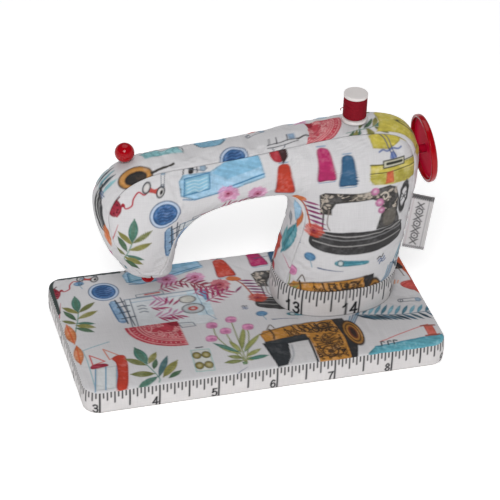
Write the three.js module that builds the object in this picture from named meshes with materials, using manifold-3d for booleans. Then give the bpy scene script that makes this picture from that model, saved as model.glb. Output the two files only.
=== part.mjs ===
// Pincushion shaped like a little sewing machine: a stuffed cloth body standing on a padded base.
// Millimetres, +Z up. The origin is the middle of the base's underside; +X runs towards the handwheel.

import * as THREE from "three";
import { mergeVertices } from "three/addons/utils/BufferGeometryUtils.js";
import Module from "manifold-3d";

const wasm = await Module();
wasm.setup();

// ---------------------------------------------------------------- driving dimensions
const GAP = 0.3; // running gap between neighbouring solids
const CLOTH = 0.8; // cloth with its backing

const BASE = { length: 158.4, depth: 83, height: 11.8, corner: 7, board: 2.2, cornerSteps: 5 };
const BODY_Y = 8.5; // the body stands a little behind the middle of the base
const FOOT_Z = BASE.height + GAP;
const SECTION_POWER = 2.35; // a stuffed section is a little squarer than an ellipse

// Ribs from the pillar's foot up, along the arm and down the head. Each one is a cross-section:
// its point on the arch side, its point on the outside, and half its thickness front to back.
const RIBS = [
  { arch: [14.6, 12], out: [68.4, 12], half: 21.5 },
  { arch: [15.2, 24], out: [69.6, 24], half: 20.4 },
  { arch: [17.4, 37], out: [71.8, 38], half: 18.8 },
  { arch: [20.0, 49], out: [74.4, 54], half: 17.3 },
  { arch: [20.6, 58], out: [76.2, 70], half: 16.4 },
  { arch: [18.6, 64], out: [75.3, 84.4], half: 16.0 },
  { arch: [14.0, 67.2], out: [67.8, 93.9], half: 15.6 },
  { arch: [7.0, 68], out: [50.0, 96.9], half: 15.0 },
  { arch: [-2.0, 67.4], out: [26.0, 95.4], half: 14.2 },
  { arch: [-11.0, 65.4], out: [1.0, 92.9], half: 13.5 },
  { arch: [-19.5, 61.8], out: [-23.0, 91.4], half: 13.3 },
  { arch: [-25.6, 56.6], out: [-43.6, 90.2], half: 13.6 },
  { arch: [-28.6, 51.2], out: [-57.2, 85.2], half: 14.0 },
  { arch: [-29.8, 46.4], out: [-64.0, 75.4], half: 14.1 },
  { arch: [-30.4, 42.6], out: [-63.4, 62.4], half: 13.3 },
  { arch: [-30.9, 39.8], out: [-58.9, 49.8], half: 12.0 },
  { arch: [-31.4, 38.0], out: [-54.0, 41.4], half: 10.6 },
];
const LAST_RIB = RIBS.length - 1;
const HEAD_CAP = { depth: 5.6, lean: 0.28, roundness: 0.5, end: 0.94 };
const GUSSET_WIDTH = { foot: 20, arm: 17, head: 20 }; // seam to seam, front to back
const SEAM_ANGLE_GAP = 0.02;
const ROWS = 44;

const PIN_SHAFT = 0.35;
const PIN_BORE = 0.75;
const TOP_PIN = { at: [-51.1, 10.5, 93.0], ball: 4.1, shaft: 30 };
const NEEDLE_PIN = { ball: 3, below: 3.4, shaft: 15 };
const SPOOL = { at: [47.1, BODY_Y, 97.5], height: 12.8, flange: 5.5, cap: 5.15, core: 2.5, wound: 4.9 };
const SPOOL_PIN = { radius: 0.9, bore: 1.25, sunk: 16, inside: 9.4 };
const WHEEL = {
  at: [79.7, 8.2, 79.1], axis: [0.994, -0.011, 0.105], radius: 14.9, thick: 2.8, bevel: 1.0, wall: 1.4, hollow: 1.9,
};
const SHANK = { radius: 1.8, length: 2.0, eye: 0.8, recess: 3.4, bore: 3.0, thread: 0.45, loop: 7 };
const LABEL = { top: [72.2, -1.5, 63.2], foot: [69.2, -1.5, 36.4], lean: -24.3, width: 9.6, thick: 0.7, gap: 0.3 };

// ---------------------------------------------------------------- materials
const cloth = (colour) => new THREE.MeshStandardMaterial({ color: colour, roughness: 0.85, metalness: 0 });
const MATERIAL = {
  print: cloth(0xd9d4d2),
  tape: cloth(0xe6e2df),
  stuffing: cloth(0xf2f0ea),
  foam: cloth(0xe9e4cf),
  board: new THREE.MeshStandardMaterial({ color: 0xa98d68, roughness: 0.9, metalness: 0 }),
  redThread: new THREE.MeshStandardMaterial({ color: 0xa01020, roughness: 0.55, metalness: 0 }),
  whitePlastic: new THREE.MeshStandardMaterial({ color: 0xe8e6e2, roughness: 0.4, metalness: 0 }),
  redPlastic: new THREE.MeshStandardMaterial({ color: 0xb00018, roughness: 0.12, metalness: 0 }),
  steel: new THREE.MeshStandardMaterial({ color: 0xc8c8cc, roughness: 0.25, metalness: 1 }),
};

// ---------------------------------------------------------------- solids by code
const part = new THREE.Group();

function add(name, geometry, material, place) {
  const mesh = new THREE.Mesh(geometry, material);
  mesh.name = name;
  if (place) place(mesh);
  part.add(mesh);
  return mesh;
}

function toManifold(geometry) {
  const bare = geometry.clone();
  bare.deleteAttribute("normal");
  bare.deleteAttribute("uv");
  const merged = mergeVertices(bare, 1e-5);
  return new wasm.Manifold(
    new wasm.Mesh({
      numProp: 3,
      vertProperties: new Float32Array(merged.attributes.position.array),
      triVerts: new Uint32Array(merged.index.array),
    }),
  );
}

function fromManifold(solid) {
  const mesh = solid.getMesh();
  const geometry = new THREE.BufferGeometry();
  geometry.setAttribute("position", new THREE.BufferAttribute(mesh.vertProperties, 3));
  geometry.setIndex(new THREE.BufferAttribute(mesh.triVerts, 1));
  return geometry;
}

function cut(geometry, ...tools) {
  return fromManifold(tools.reduce((solid, tool) => solid.subtract(toManifold(tool)), toManifold(geometry)));
}

// A closed mesh from points and triangles, turned so that its faces point out.
function closed(points, triangles) {
  const volume = triangles.reduce((sum, [a, b, c]) => {
    return sum + points[a].clone().cross(points[b]).dot(points[c]);
  }, 0);
  const index = volume > 0 ? triangles : triangles.map(([a, b, c]) => [a, c, b]);
  const geometry = new THREE.BufferGeometry().setFromPoints(points);
  geometry.setIndex(index.flat());
  geometry.computeVertexNormals();
  return geometry;
}

// A thin shell between two skins, each a function of a row share and a column share from 0 to 1.
function shell(outer, inner, rows, columns) {
  const points = [];
  const at = (side, i, j) => (side * (rows + 1) + i) * (columns + 1) + j;
  for (const skin of [outer, inner]) {
    for (let i = 0; i <= rows; i++) {
      for (let j = 0; j <= columns; j++) points.push(skin(i / rows, j / columns));
    }
  }
  const triangles = [];
  const quad = (a, b, c, d) => triangles.push([a, b, c], [a, c, d]);
  for (let i = 0; i < rows; i++) {
    for (let j = 0; j < columns; j++) {
      quad(at(0, i, j), at(0, i + 1, j), at(0, i + 1, j + 1), at(0, i, j + 1));
      quad(at(1, i, j), at(1, i, j + 1), at(1, i + 1, j + 1), at(1, i + 1, j));
    }
    quad(at(0, i, 0), at(1, i, 0), at(1, i + 1, 0), at(0, i + 1, 0));
    quad(at(0, i, columns), at(0, i + 1, columns), at(1, i + 1, columns), at(1, i, columns));
  }
  for (let j = 0; j < columns; j++) {
    quad(at(0, 0, j), at(0, 0, j + 1), at(1, 0, j + 1), at(1, 0, j));
    quad(at(0, rows, j), at(1, rows, j), at(1, rows, j + 1), at(0, rows, j + 1));
  }
  return closed(points, triangles);
}

// A closed tube of rings, each a function of a row share and an angle, with a flat fan at both ends.
function tube(ring, rows, sides) {
  const points = [];
  for (let i = 0; i <= rows; i++) {
    for (let j = 0; j < sides; j++) points.push(ring(i / rows, (j / sides) * 2 * Math.PI));
  }
  const triangles = [];
  for (let i = 0; i < rows; i++) {
    for (let j = 0; j < sides; j++) {
      const [a, b] = [i * sides + j, i * sides + ((j + 1) % sides)];
      triangles.push([a, a + sides, b + sides], [a, b + sides, b]);
    }
  }
  for (const [row, turned] of [[0, false], [rows, true]]) {
    const first = points.length;
    const middle = new THREE.Vector3();
    for (let j = 0; j < sides; j++) middle.addScaledVector(points[row * sides + j], 1 / sides);
    points.push(middle);
    for (let j = 0; j < sides; j++) {
      const [a, b] = [row * sides + j, row * sides + ((j + 1) % sides)];
      triangles.push(turned ? [a, first, b] : [b, first, a]);
    }
  }
  return closed(points, triangles);
}

// A rod standing on z = from and reaching up to z = to.
function rod(radius, from, to, x = 0, y = 0, sides = 14) {
  const geometry = new THREE.CylinderGeometry(radius, radius, to - from, sides);
  geometry.rotateX(Math.PI / 2);
  geometry.translate(x, y, (from + to) / 2);
  return geometry;
}

// A turned solid about +Z from [radius, height] points.
function turned(profile, sides) {
  const geometry = new THREE.LatheGeometry(profile.map(([r, z]) => new THREE.Vector2(r, z)), sides);
  geometry.rotateX(Math.PI / 2);
  return geometry;
}

// ---------------------------------------------------------------- the body's surface
function blended(a, b, c, d, f) {
  return 0.5 * (2 * b + (c - a) * f + (2 * a - 5 * b + 4 * c - d) * f * f + (3 * b - a - 3 * c + d) * f ** 3);
}

// Smooth values between the ribs: arch point, outer point and half thickness at place t.
function ribAt(t) {
  const i = Math.min(Math.floor(t), LAST_RIB - 1);
  const value = (k, pick) => {
    if (k < 0) return 2 * pick(RIBS[0]) - pick(RIBS[1]);
    if (k > LAST_RIB) return 2 * pick(RIBS[LAST_RIB]) - pick(RIBS[LAST_RIB - 1]);
    return pick(RIBS[k]);
  };
  const smooth = (pick) =>
    blended(value(i - 1, pick), value(i, pick), value(i + 1, pick), value(i + 2, pick), t - i);
  return {
    arch: [smooth((r) => r.arch[0]), smooth((r) => r.arch[1])],
    out: [smooth((r) => r.out[0]), smooth((r) => r.out[1])],
    half: smooth((r) => r.half),
  };
}

// The cross-section at place t, drawn in by inset: its middle, its half span towards the outside and
// its half thickness. Past the last rib the sections shrink round the bottom of the head.
function sectionAt(t, inset) {
  const rib = ribAt(Math.min(t, LAST_RIB));
  const angle = (Math.max(t - LAST_RIB, 0) * Math.PI) / 2;
  const shrink = Math.cos(angle) ** HEAD_CAP.roundness;
  const drop = (HEAD_CAP.depth - inset) * Math.sin(angle);
  const middle = new THREE.Vector3((rib.arch[0] + rib.out[0]) / 2, BODY_Y, (rib.arch[1] + rib.out[1]) / 2);
  const span = new THREE.Vector3((rib.out[0] - rib.arch[0]) / 2, 0, (rib.out[1] - rib.arch[1]) / 2);
  const reach = span.length();
  middle.x += drop * HEAD_CAP.lean;
  middle.z -= drop * Math.sqrt(1 - HEAD_CAP.lean ** 2);
  span.multiplyScalar(((reach - inset) / reach) * shrink);
  return { middle, span, half: (rib.half - inset) * shrink };
}

// A point of the body's surface. Angle 0 is the outside, a quarter turn is the back, a half turn the arch.
function bodyPoint(t, angle, inset = 0) {
  const { middle, span, half } = sectionAt(t, inset);
  const power = 2 / SECTION_POWER;
  const across = Math.sign(Math.cos(angle)) * Math.abs(Math.cos(angle)) ** power;
  const along = Math.sign(Math.sin(angle)) * Math.abs(Math.sin(angle)) ** power;
  return middle.clone().addScaledVector(span, across).add(new THREE.Vector3(0, half * along, 0));
}

function gussetWidth(t) {
  const { smoothstep, lerp } = THREE.MathUtils;
  const arm = lerp(GUSSET_WIDTH.foot, GUSSET_WIDTH.arm, smoothstep(t, 3, 8));
  return lerp(arm, GUSSET_WIDTH.head, smoothstep(t, 10, 13));
}

// The angle from the outside, or from the arch, at which the seam of a gusset runs.
function seamAngle(t) {
  const share = Math.min(gussetWidth(t) / 2 / sectionAt(t, 0).half, 1);
  return Math.asin(share ** (SECTION_POWER / 2));
}

const BAND_TOP = 0.97; // place of the pillar band's top edge, just under the second rib
const SKIN_START = 1.0;
const SKIN_END = LAST_RIB + HEAD_CAP.end;

// The place past the last rib where a side panel's two seams meet under the head.
function panelEnd() {
  let t = LAST_RIB - 1;
  while (seamAngle(t) < 1.25) t += 0.01;
  return t;
}

function skin(from, to, fromAngle, toAngle, columns) {
  const layer = (inset) => (row, column) => {
    const t = from + (to - from) * row;
    const [low, high] = [fromAngle(t) + SEAM_ANGLE_GAP, toAngle(t) - SEAM_ANGLE_GAP];
    return bodyPoint(t, low + (high - low) * column, inset);
  };
  return shell(layer(0), layer(CLOTH), ROWS, columns);
}

// ---------------------------------------------------------------- base
function roundedRectangle(length, depth, corner) {
  const [x, y] = [length / 2 - corner, depth / 2 - corner];
  const shape = new THREE.Shape();
  const corners = [[x, y, 0], [-x, y, 1], [-x, -y, 2], [x, -y, 3]];
  for (const [cx, cy, turn] of corners) {
    shape.absarc(cx, cy, corner, (turn * Math.PI) / 2, ((turn + 1) * Math.PI) / 2, false);
  }
  return shape;
}

function slab(inset, from, to, opening) {
  const plan = (i) => roundedRectangle(BASE.length - 2 * i, BASE.depth - 2 * i, BASE.corner - i);
  const shape = plan(inset);
  if (opening) shape.holes.push(new THREE.Path(plan(opening).getPoints(BASE.cornerSteps).reverse()));
  const options = { depth: to - from, bevelEnabled: false, curveSegments: BASE.cornerSteps };
  return new THREE.ExtrudeGeometry(shape, options).translate(0, 0, from);
}

function addBase() {
  const inside = CLOTH + GAP;
  const boardFrom = 0.6 + GAP;
  const foamFrom = boardFrom + BASE.board + GAP;
  const coverFrom = BASE.height - CLOTH;
  add("base_bottom_cover", slab(inside, 0, 0.6), MATERIAL.print);
  add("base_board", slab(inside, boardFrom, boardFrom + BASE.board), MATERIAL.board);
  add("base_foam", slab(inside, foamFrom, coverFrom - GAP), MATERIAL.foam);
  add("base_tape_band", slab(0, 0.3, coverFrom - GAP, CLOTH), MATERIAL.tape);
  add("base_top_cover", slab(0, coverFrom, BASE.height), MATERIAL.print);
}

// ---------------------------------------------------------------- stuffed body
function addBody() {
  const [axisX, axisY] = [SPOOL.at[0], SPOOL.at[1]];
  const spoolHole = rod(SPOOL_PIN.radius + GAP, SPOOL.at[2] - SPOOL_PIN.sunk - GAP, SPOOL.at[2] + 4, axisX, axisY);
  const [pinX, pinY, pinZ] = TOP_PIN.at;
  const pinHole = rod(PIN_BORE, pinZ - TOP_PIN.shaft - 1, pinZ, pinX, pinY);
  const recess = alongWheelAxis(rod(SHANK.recess, -WHEEL.thick / 2 - SHANK.length - 1, 0, 0, 0, 20));
  const loopHole = alongWheelAxis(rod(SHANK.bore, -WHEEL.thick / 2 - SHANK.length - SHANK.loop - 1, 0));
  const holes = [spoolHole, pinHole, recess, loopHole];

  const seam = (t) => seamAngle(t);
  const sideEnd = panelEnd();
  const back = skin(SKIN_START, sideEnd, seam, (t) => Math.PI - seam(t), 6);
  const front = skin(SKIN_START, sideEnd, (t) => Math.PI + seam(t), (t) => 2 * Math.PI - seam(t), 6);
  const outer = skin(SKIN_START, SKIN_END, (t) => -seam(t), seam, 4);
  const inner = skin(SKIN_START, SKIN_END, (t) => Math.PI - seam(t), (t) => Math.PI + seam(t), 4);
  add("body_back_panel", back, MATERIAL.print);
  add("body_front_panel", front, MATERIAL.print);
  add("body_outer_gusset", cut(outer, ...holes), MATERIAL.print);
  add("body_inner_gusset", inner, MATERIAL.print);

  const core = CLOTH + 0.8;
  const coreEnd = LAST_RIB + 0.8;
  const stuffing = tube((row, angle) => bodyPoint(0.14 + (coreEnd - 0.14) * row, angle, core), ROWS, 20);
  add("body_stuffing", cut(stuffing, ...holes, needleHole()), MATERIAL.stuffing);

  const band = (inset) => (row, column) => bodyPoint(0.01 + (BAND_TOP - 0.01) * row, column * 2 * Math.PI, inset);
  add("pillar_tape_band", loopShell(band(0), band(CLOTH), 4, 40), MATERIAL.tape);
  add("pillar_foot_disc", footDisc(), MATERIAL.board);
}

// A shell that closes on itself all the way round, like a cuff.
function loopShell(outer, inner, rows, columns) {
  const points = [];
  const at = (side, i, j) => (side * (rows + 1) + i) * columns + (j % columns);
  for (const layer of [outer, inner]) {
    for (let i = 0; i <= rows; i++) {
      for (let j = 0; j < columns; j++) points.push(layer(i / rows, j / columns));
    }
  }
  const triangles = [];
  const quad = (a, b, c, d) => triangles.push([a, b, c], [a, c, d]);
  for (let j = 0; j < columns; j++) {
    for (let i = 0; i < rows; i++) {
      quad(at(0, i, j), at(0, i + 1, j), at(0, i + 1, j + 1), at(0, i, j + 1));
      quad(at(1, i, j), at(1, i, j + 1), at(1, i + 1, j + 1), at(1, i + 1, j));
    }
    quad(at(0, 0, j), at(0, 0, j + 1), at(1, 0, j + 1), at(1, 0, j));
    quad(at(0, rows, j), at(1, rows, j), at(1, rows, j + 1), at(0, rows, j + 1));
  }
  return closed(points, triangles);
}

function footDisc() {
  const inset = CLOTH + GAP;
  const level = (z) => (angle) => {
    const point = bodyPoint(0, angle, inset);
    return new THREE.Vector3(point.x, point.y, z);
  };
  const [low, high] = [level(FOOT_Z), level(FOOT_Z + 0.8)];
  return tube((row, angle) => (row < 0.5 ? low(angle) : high(angle)), 1, 40);
}

// ---------------------------------------------------------------- pins, spool and handwheel
// A round bead with a blind bore from below that takes the pin's shaft.
function boredBall(radius, bore) {
  const steps = 12;
  const start = Math.asin(bore / radius);
  const profile = [];
  for (let i = 0; i <= steps; i++) {
    const angle = start + ((Math.PI - start) * i) / steps;
    profile.push([i === steps ? 0 : radius * Math.sin(angle), -radius * Math.cos(angle)]);
  }
  return turned([[0, radius * 0.35], [bore, radius * 0.35], ...profile], 20);
}

function needlePole() {
  return sectionAt(LAST_RIB + 1, 0).middle;
}

function needleHole() {
  const pole = needlePole();
  return rod(PIN_BORE, pole.z - 2, pole.z + NEEDLE_PIN.shaft + 1, pole.x, pole.y);
}

function addPins() {
  const [x, y, z] = TOP_PIN.at;
  add("top_pin_ball", boredBall(TOP_PIN.ball, PIN_SHAFT + GAP), MATERIAL.redPlastic, (m) => m.position.set(x, y, z));
  const tip = z - TOP_PIN.shaft;
  add("top_pin_shaft", pinShaft(tip, z + TOP_PIN.ball * 0.35 - GAP, x, y, -1), MATERIAL.steel);

  const pole = needlePole();
  const centre = pole.z - NEEDLE_PIN.below;
  add("needle_ball", boredBall(NEEDLE_PIN.ball, PIN_SHAFT + GAP), MATERIAL.redPlastic, (m) => {
    m.position.set(pole.x, pole.y, centre);
    m.rotation.x = Math.PI;
  });
  const inBall = centre - NEEDLE_PIN.ball * 0.35 + GAP;
  add("needle_shaft", pinShaft(inBall, pole.z + NEEDLE_PIN.shaft, pole.x, pole.y, 1), MATERIAL.steel);
}

// A pin's wire with its point at the lower end (point = -1) or the upper end (point = 1).
function pinShaft(from, to, x, y, point) {
  const taper = 3;
  const profile = [[0, 0], [PIN_SHAFT, taper], [PIN_SHAFT, to - from], [0, to - from]];
  const geometry = turned(profile, 12);
  if (point > 0) geometry.rotateX(Math.PI).translate(0, 0, to - from);
  return geometry.translate(x, y, from);
}

function addSpool() {
  const { flange, cap, core, wound, height } = SPOOL;
  const [foot, rim] = [1.5, 1.4];
  const bobbin = [
    [SPOOL_PIN.bore, 0], [flange, 0], [flange, foot], [core, foot + 0.6], [core, height - rim - 0.4],
    [cap, height - rim], [cap, height - 0.3], [cap - 0.3, height], [0, height],
    [0, SPOOL_PIN.inside + 0.4], [SPOOL_PIN.bore, SPOOL_PIN.inside + 0.4], [SPOOL_PIN.bore, 0],
  ];
  const place = (m) => m.position.set(...SPOOL.at);
  add("spool_bobbin", turned(closeOnAxis(bobbin), 28), MATERIAL.whitePlastic, place);
  const hug = core + GAP;
  const winding = [
    [hug, foot + 1.0], [wound - 0.3, foot + GAP], [wound, foot + 1.2], [wound, height - rim - 1.2],
    [wound - 0.3, height - rim - GAP], [hug, height - rim - 0.9], [hug, foot + 1.0],
  ];
  add("spool_thread", turned(winding, 28), MATERIAL.redThread, place);
  const [x, y, z] = SPOOL.at;
  add("spool_pin", rod(SPOOL_PIN.radius, z - SPOOL_PIN.sunk, z + SPOOL_PIN.inside, x, y), MATERIAL.steel);
}

// The bobbin's outline runs from the bore's mouth over the outside to the axis and back down the bore,
// so it is listed as one open line that starts and ends on the axis.
function closeOnAxis(outline) {
  const top = outline.findIndex(([r]) => r === 0);
  const outside = outline.slice(0, top + 1);
  const bore = outline.slice(top + 1, -1);
  return [...bore, ...outside];
}

function alongWheelAxis(geometry) {
  const axis = new THREE.Vector3(...WHEEL.axis).normalize();
  const turn = new THREE.Quaternion().setFromUnitVectors(new THREE.Vector3(0, 0, 1), axis);
  return geometry.applyQuaternion(turn).translate(...WHEEL.at);
}

function addHandwheel() {
  const { radius, thick, bevel, wall, hollow } = WHEEL;
  const [face, back] = [thick / 2, -thick / 2];
  const disc = turned(
    [
      [0, back - SHANK.length], [SHANK.radius, back - SHANK.length], [SHANK.radius, back + hollow],
      [radius - wall - 0.5, back + hollow], [radius - wall, back + hollow - 0.5], [radius - wall, back + 0.3],
      [radius - wall + 0.3, back], [radius - 0.3, back], [radius, back + 0.3], [radius, face - bevel],
      [radius - 0.4, face - 0.35], [radius - bevel, face], [0, face],
    ],
    48,
  );
  const eyeZ = back - SHANK.length * 0.5;
  const eye = rod(SHANK.eye, -SHANK.radius - 1, SHANK.radius + 1).rotateX(Math.PI / 2).translate(0, 0, eyeZ);
  add("handwheel_button", alongWheelAxis(cut(disc, eye)), MATERIAL.redPlastic);

  const leg = eyeZ - SHANK.loop;
  const side = SHANK.radius + GAP + SHANK.thread;
  const half = [[0, eyeZ], [side - 0.4, eyeZ - 0.05], [side, eyeZ - 0.8], [side - 0.3, eyeZ - 2.2], [1.2, leg + 2.6]];
  const side1 = half.slice(1).reverse().map(([y, z]) => new THREE.Vector3(0, -y, z));
  const side2 = half.map(([y, z]) => new THREE.Vector3(0, y, z));
  const ends = [new THREE.Vector3(0.4, -0.7, leg), new THREE.Vector3(-0.4, 0.7, leg)];
  const loop = new THREE.CatmullRomCurve3([ends[0], ...side1, ...side2, ends[1]]);
  const section = new THREE.Shape();
  section.absarc(0, 0, SHANK.thread, 0, 2 * Math.PI, false);
  const options = { steps: 36, extrudePath: loop, curveSegments: 8, bevelEnabled: false };
  const thread = new THREE.ExtrudeGeometry(section, options);
  add("handwheel_thread", alongWheelAxis(thread), MATERIAL.redThread);
}

// ---------------------------------------------------------------- label
function addLabel() {
  const top = new THREE.Vector3(...LABEL.top);
  const foot = new THREE.Vector3(...LABEL.foot);
  const up = top.clone().sub(foot).normalize();
  const lean = THREE.MathUtils.degToRad(LABEL.lean);
  const out = new THREE.Vector3(Math.cos(lean), Math.sin(lean), 0);
  out.addScaledVector(up, -out.dot(up)).normalize();
  const normal = out.clone().cross(up);
  const box = new THREE.BoxGeometry(LABEL.width, top.distanceTo(foot), LABEL.thick);
  const centre = top.clone().add(foot).multiplyScalar(0.5).addScaledVector(out, LABEL.width / 2 + LABEL.gap);
  add("label_tag", box, MATERIAL.tape, (m) => {
    m.quaternion.setFromRotationMatrix(new THREE.Matrix4().makeBasis(out, up, normal));
    m.position.copy(centre);
  });
}

addBase();
addBody();
addPins();
addSpool();
addHandwheel();
addLabel();

export default part;
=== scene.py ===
"""Looks of a stuffed pincushion in the shape of a small sewing machine.

Lengths are millimetres until a mesh is made. A cloth piece is a fine grid of points with flat cloth
coordinates (u, v). The print is painted on those coordinates and kept as a colour attribute.
"""

import math
from functools import partial

import bpy
import numpy as np
from mathutils import Matrix, Vector


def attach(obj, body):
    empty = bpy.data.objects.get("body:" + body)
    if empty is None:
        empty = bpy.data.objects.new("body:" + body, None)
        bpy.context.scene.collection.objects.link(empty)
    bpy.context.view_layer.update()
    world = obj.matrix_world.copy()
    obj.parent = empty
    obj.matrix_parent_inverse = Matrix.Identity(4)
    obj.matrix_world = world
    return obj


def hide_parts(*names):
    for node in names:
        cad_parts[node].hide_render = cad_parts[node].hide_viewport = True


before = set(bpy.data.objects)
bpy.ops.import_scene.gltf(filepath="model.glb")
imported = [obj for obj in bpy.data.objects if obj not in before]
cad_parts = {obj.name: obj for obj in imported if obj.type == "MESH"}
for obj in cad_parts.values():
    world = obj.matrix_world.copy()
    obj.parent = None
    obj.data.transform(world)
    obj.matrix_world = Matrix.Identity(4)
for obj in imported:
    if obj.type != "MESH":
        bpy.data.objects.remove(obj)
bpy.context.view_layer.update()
MM = 0.001
TURN = 2 * math.pi

# ------------------------------------------------------------------ dimensions, as in the CAD model
BASE = dict(length=158.4, depth=83.0, height=11.8, corner=7.0)
BODY_Y = 8.5
SECTION_POWER = 2.35
# One row per cross-section, from the pillar's foot to the bottom of the head: the arch side's
# x and z, the outside's x and z, and half the thickness front to back.
RIBS = np.array([
    (14.6, 12.0, 68.4, 12.0, 21.5), (15.2, 24.0, 69.6, 24.0, 20.4),
    (17.4, 37.0, 71.8, 38.0, 18.8), (20.0, 49.0, 74.4, 54.0, 17.3),
    (20.6, 58.0, 76.2, 70.0, 16.4), (18.6, 64.0, 75.3, 84.4, 16.0),
    (14.0, 67.2, 67.8, 93.9, 15.6), (7.0, 68.0, 50.0, 96.9, 15.0),
    (-2.0, 67.4, 26.0, 95.4, 14.2), (-11.0, 65.4, 1.0, 92.9, 13.5),
    (-19.5, 61.8, -23.0, 91.4, 13.3), (-25.6, 56.6, -43.6, 90.2, 13.6),
    (-28.6, 51.2, -57.2, 85.2, 14.0), (-29.8, 46.4, -64.0, 75.4, 14.1),
    (-30.4, 42.6, -63.4, 62.4, 13.3), (-30.9, 39.8, -58.9, 49.8, 12.0),
    (-31.4, 38.0, -54.0, 41.4, 10.6),
])
LAST_RIB = len(RIBS) - 1
HEAD_CAP = dict(depth=5.6, lean=0.28, roundness=0.5)
GUSSET = dict(foot=20.0, arm=17.0, head=20.0)
TOP_PIN = dict(at=(-51.1, 10.5, 93.0), ball=4.1)
NEEDLE_BALL = dict(radius=3.0, below=3.4)
SPOOL = dict(at=(47.1, BODY_Y, 97.5), height=12.8, wound=4.9)
WHEEL = dict(at=(79.7, 8.2, 79.1), axis=(0.994, -0.011, 0.105), radius=14.9, thick=2.8, shank=1.8)
LABEL = dict(top=(72.2, -1.5, 63.2), foot=(69.2, -1.5, 36.4), lean=-24.3, width=9.6)
INCH = 25.4


# ------------------------------------------------------------------ small tools
def smooth_step(x, low, high):
    s = np.clip((x - low) / (high - low), 0, 1)
    return s * s * (3 - 2 * s)


def blended(a, b, c, d, f):
    """Catmull-Rom value between b and c."""
    square, cube = 2 * a - 5 * b + 4 * c - d, 3 * b - a - 3 * c + d
    return 0.5 * (2 * b + (c - a) * f + square * f * f + cube * f**3)


def as_lines(points):
    """Lines of points from a text such as "x,y x,y / x,y x,y", or one line from a list."""
    if isinstance(points, str):
        lines = points.split("/")
        return [np.array([pair.split(",") for pair in line.split()], float) for line in lines]
    return [np.array(points, float)]


def smoothed(points, closed=False, steps=5):
    """A smooth line through a few points."""
    p = np.array(points, float)
    if len(p) < 3:
        return p
    ends = (p[-1:], p[:2]) if closed else (2 * p[:1] - p[1:2], 2 * p[-1:] - p[-2:-1])
    p = np.vstack([ends[0], p, ends[1]])
    f = np.linspace(0, 1, steps, endpoint=False)[:, None]
    line = [blended(*p[i:i + 4], f) for i in range(len(p) - 3)]
    return np.vstack(line if closed else line + [p[-2:-1]])


def run_of(steps):
    """Distance run after each step, starting from 0."""
    return np.concatenate([[0], np.cumsum(steps)])


def spread(count, ends=0.42):
    """Shares from 0 to 1 that stand closer together near both ends."""
    share = np.linspace(0, 1, count)
    return share - ends * np.sin(TURN * share) / TURN


def rolled_in(edge, width, depth, step, most=0.99, last=0.995):
    """How deep cloth lies near its edge: a quarter round of that size, then a small step."""
    near = np.clip(1 - edge / width, 0, 1)
    return depth * (1 - np.sqrt(1 - np.minimum(near, most) ** 2)) + step * (near > last)


LATTICE = np.random.default_rng(11).random((61, 61))


def noise(u, v, size):
    """Smooth values from 0 to 1 that change over about size millimetres."""
    a, b = np.asarray(u) / size, np.asarray(v) / size
    i, j = np.floor(a).astype(int), np.floor(b).astype(int)
    f, g = a - i, b - j
    f, g = f * f * (3 - 2 * f), g * g * (3 - 2 * g)
    at = lambda m, n: LATTICE[(i + m) % len(LATTICE), (j + n) % len(LATTICE)]
    return (at(0, 0) * (1 - f) + at(1, 0) * f) * (1 - g) + (at(0, 1) * (1 - f) + at(1, 1) * f) * g


def mottle(u, v, size):
    coarse, fine, finest = noise(u, v, size), noise(u + 31, v, size / 2.2), noise(u, v + 17, size / 5)
    return 0.55 * coarse + 0.3 * fine + 0.15 * finest


def linear(hexed):
    srgb = np.array([int(hexed[i:i + 2], 16) for i in (0, 2, 4)]) / 255
    return np.where(srgb <= 0.04045, srgb / 12.92, ((srgb + 0.055) / 1.055) ** 2.4)


# ------------------------------------------------------------------ the body's surface
RIB_TABLE = np.vstack([2 * RIBS[0] - RIBS[1], RIBS, 2 * RIBS[-1] - RIBS[-2]])


def section_at(t, inset=0.0):
    """Middle (x, z), half span (x, z) and half thickness of the cross-section at place t."""
    held = np.minimum(t, LAST_RIB)
    i = np.clip(np.floor(held).astype(int), 0, LAST_RIB - 1)
    rib = blended(*(RIB_TABLE[i + k] for k in range(4)), (held - i)[..., None])
    angle = np.maximum(t - LAST_RIB, 0) * np.pi / 2
    shrink = np.maximum(np.cos(angle), 0) ** HEAD_CAP["roundness"]
    drop = ((HEAD_CAP["depth"] - inset) * np.sin(angle))[..., None]
    down = np.array([HEAD_CAP["lean"], -math.sqrt(1 - HEAD_CAP["lean"] ** 2)])
    middle = (rib[..., :2] + rib[..., 2:4]) / 2 + drop * down
    span = (rib[..., 2:4] - rib[..., :2]) / 2
    reach = np.linalg.norm(span, axis=-1)
    span = span * ((reach - inset) / reach * shrink)[..., None]
    return middle, span, (rib[..., 4] - inset) * shrink


def body_point(t, angle, inset=0.0):
    """A point of the body. Angle 0 is the outside, a quarter turn the back, half a turn the arch."""
    t, angle, inset = np.broadcast_arrays(t, angle, inset)
    middle, span, half = section_at(t, inset)
    power = lambda x: np.sign(x) * np.abs(x) ** (2 / SECTION_POWER)
    flat = middle + span * power(np.cos(angle))[..., None]
    return np.stack([flat[..., 0], BODY_Y + half * power(np.sin(angle)), flat[..., 1]], -1)


def seam_angle(t):
    """The angle from the outside, or from the arch, at which a gusset's seam runs."""
    arm = GUSSET["foot"] + (GUSSET["arm"] - GUSSET["foot"]) * smooth_step(t, 3, 8)
    width = arm + (GUSSET["head"] - arm) * smooth_step(t, 10, 13)
    share = np.minimum(width / 2 / section_at(t)[2], 1)
    return np.arcsin(share ** (SECTION_POWER / 2))


def panel_end():
    """The place under the head where a side panel's two seams meet."""
    places = np.arange(LAST_RIB - 1, LAST_RIB + 0.9, 0.01)
    return float(places[np.argmax(seam_angle(places) >= 1.25)])


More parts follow.
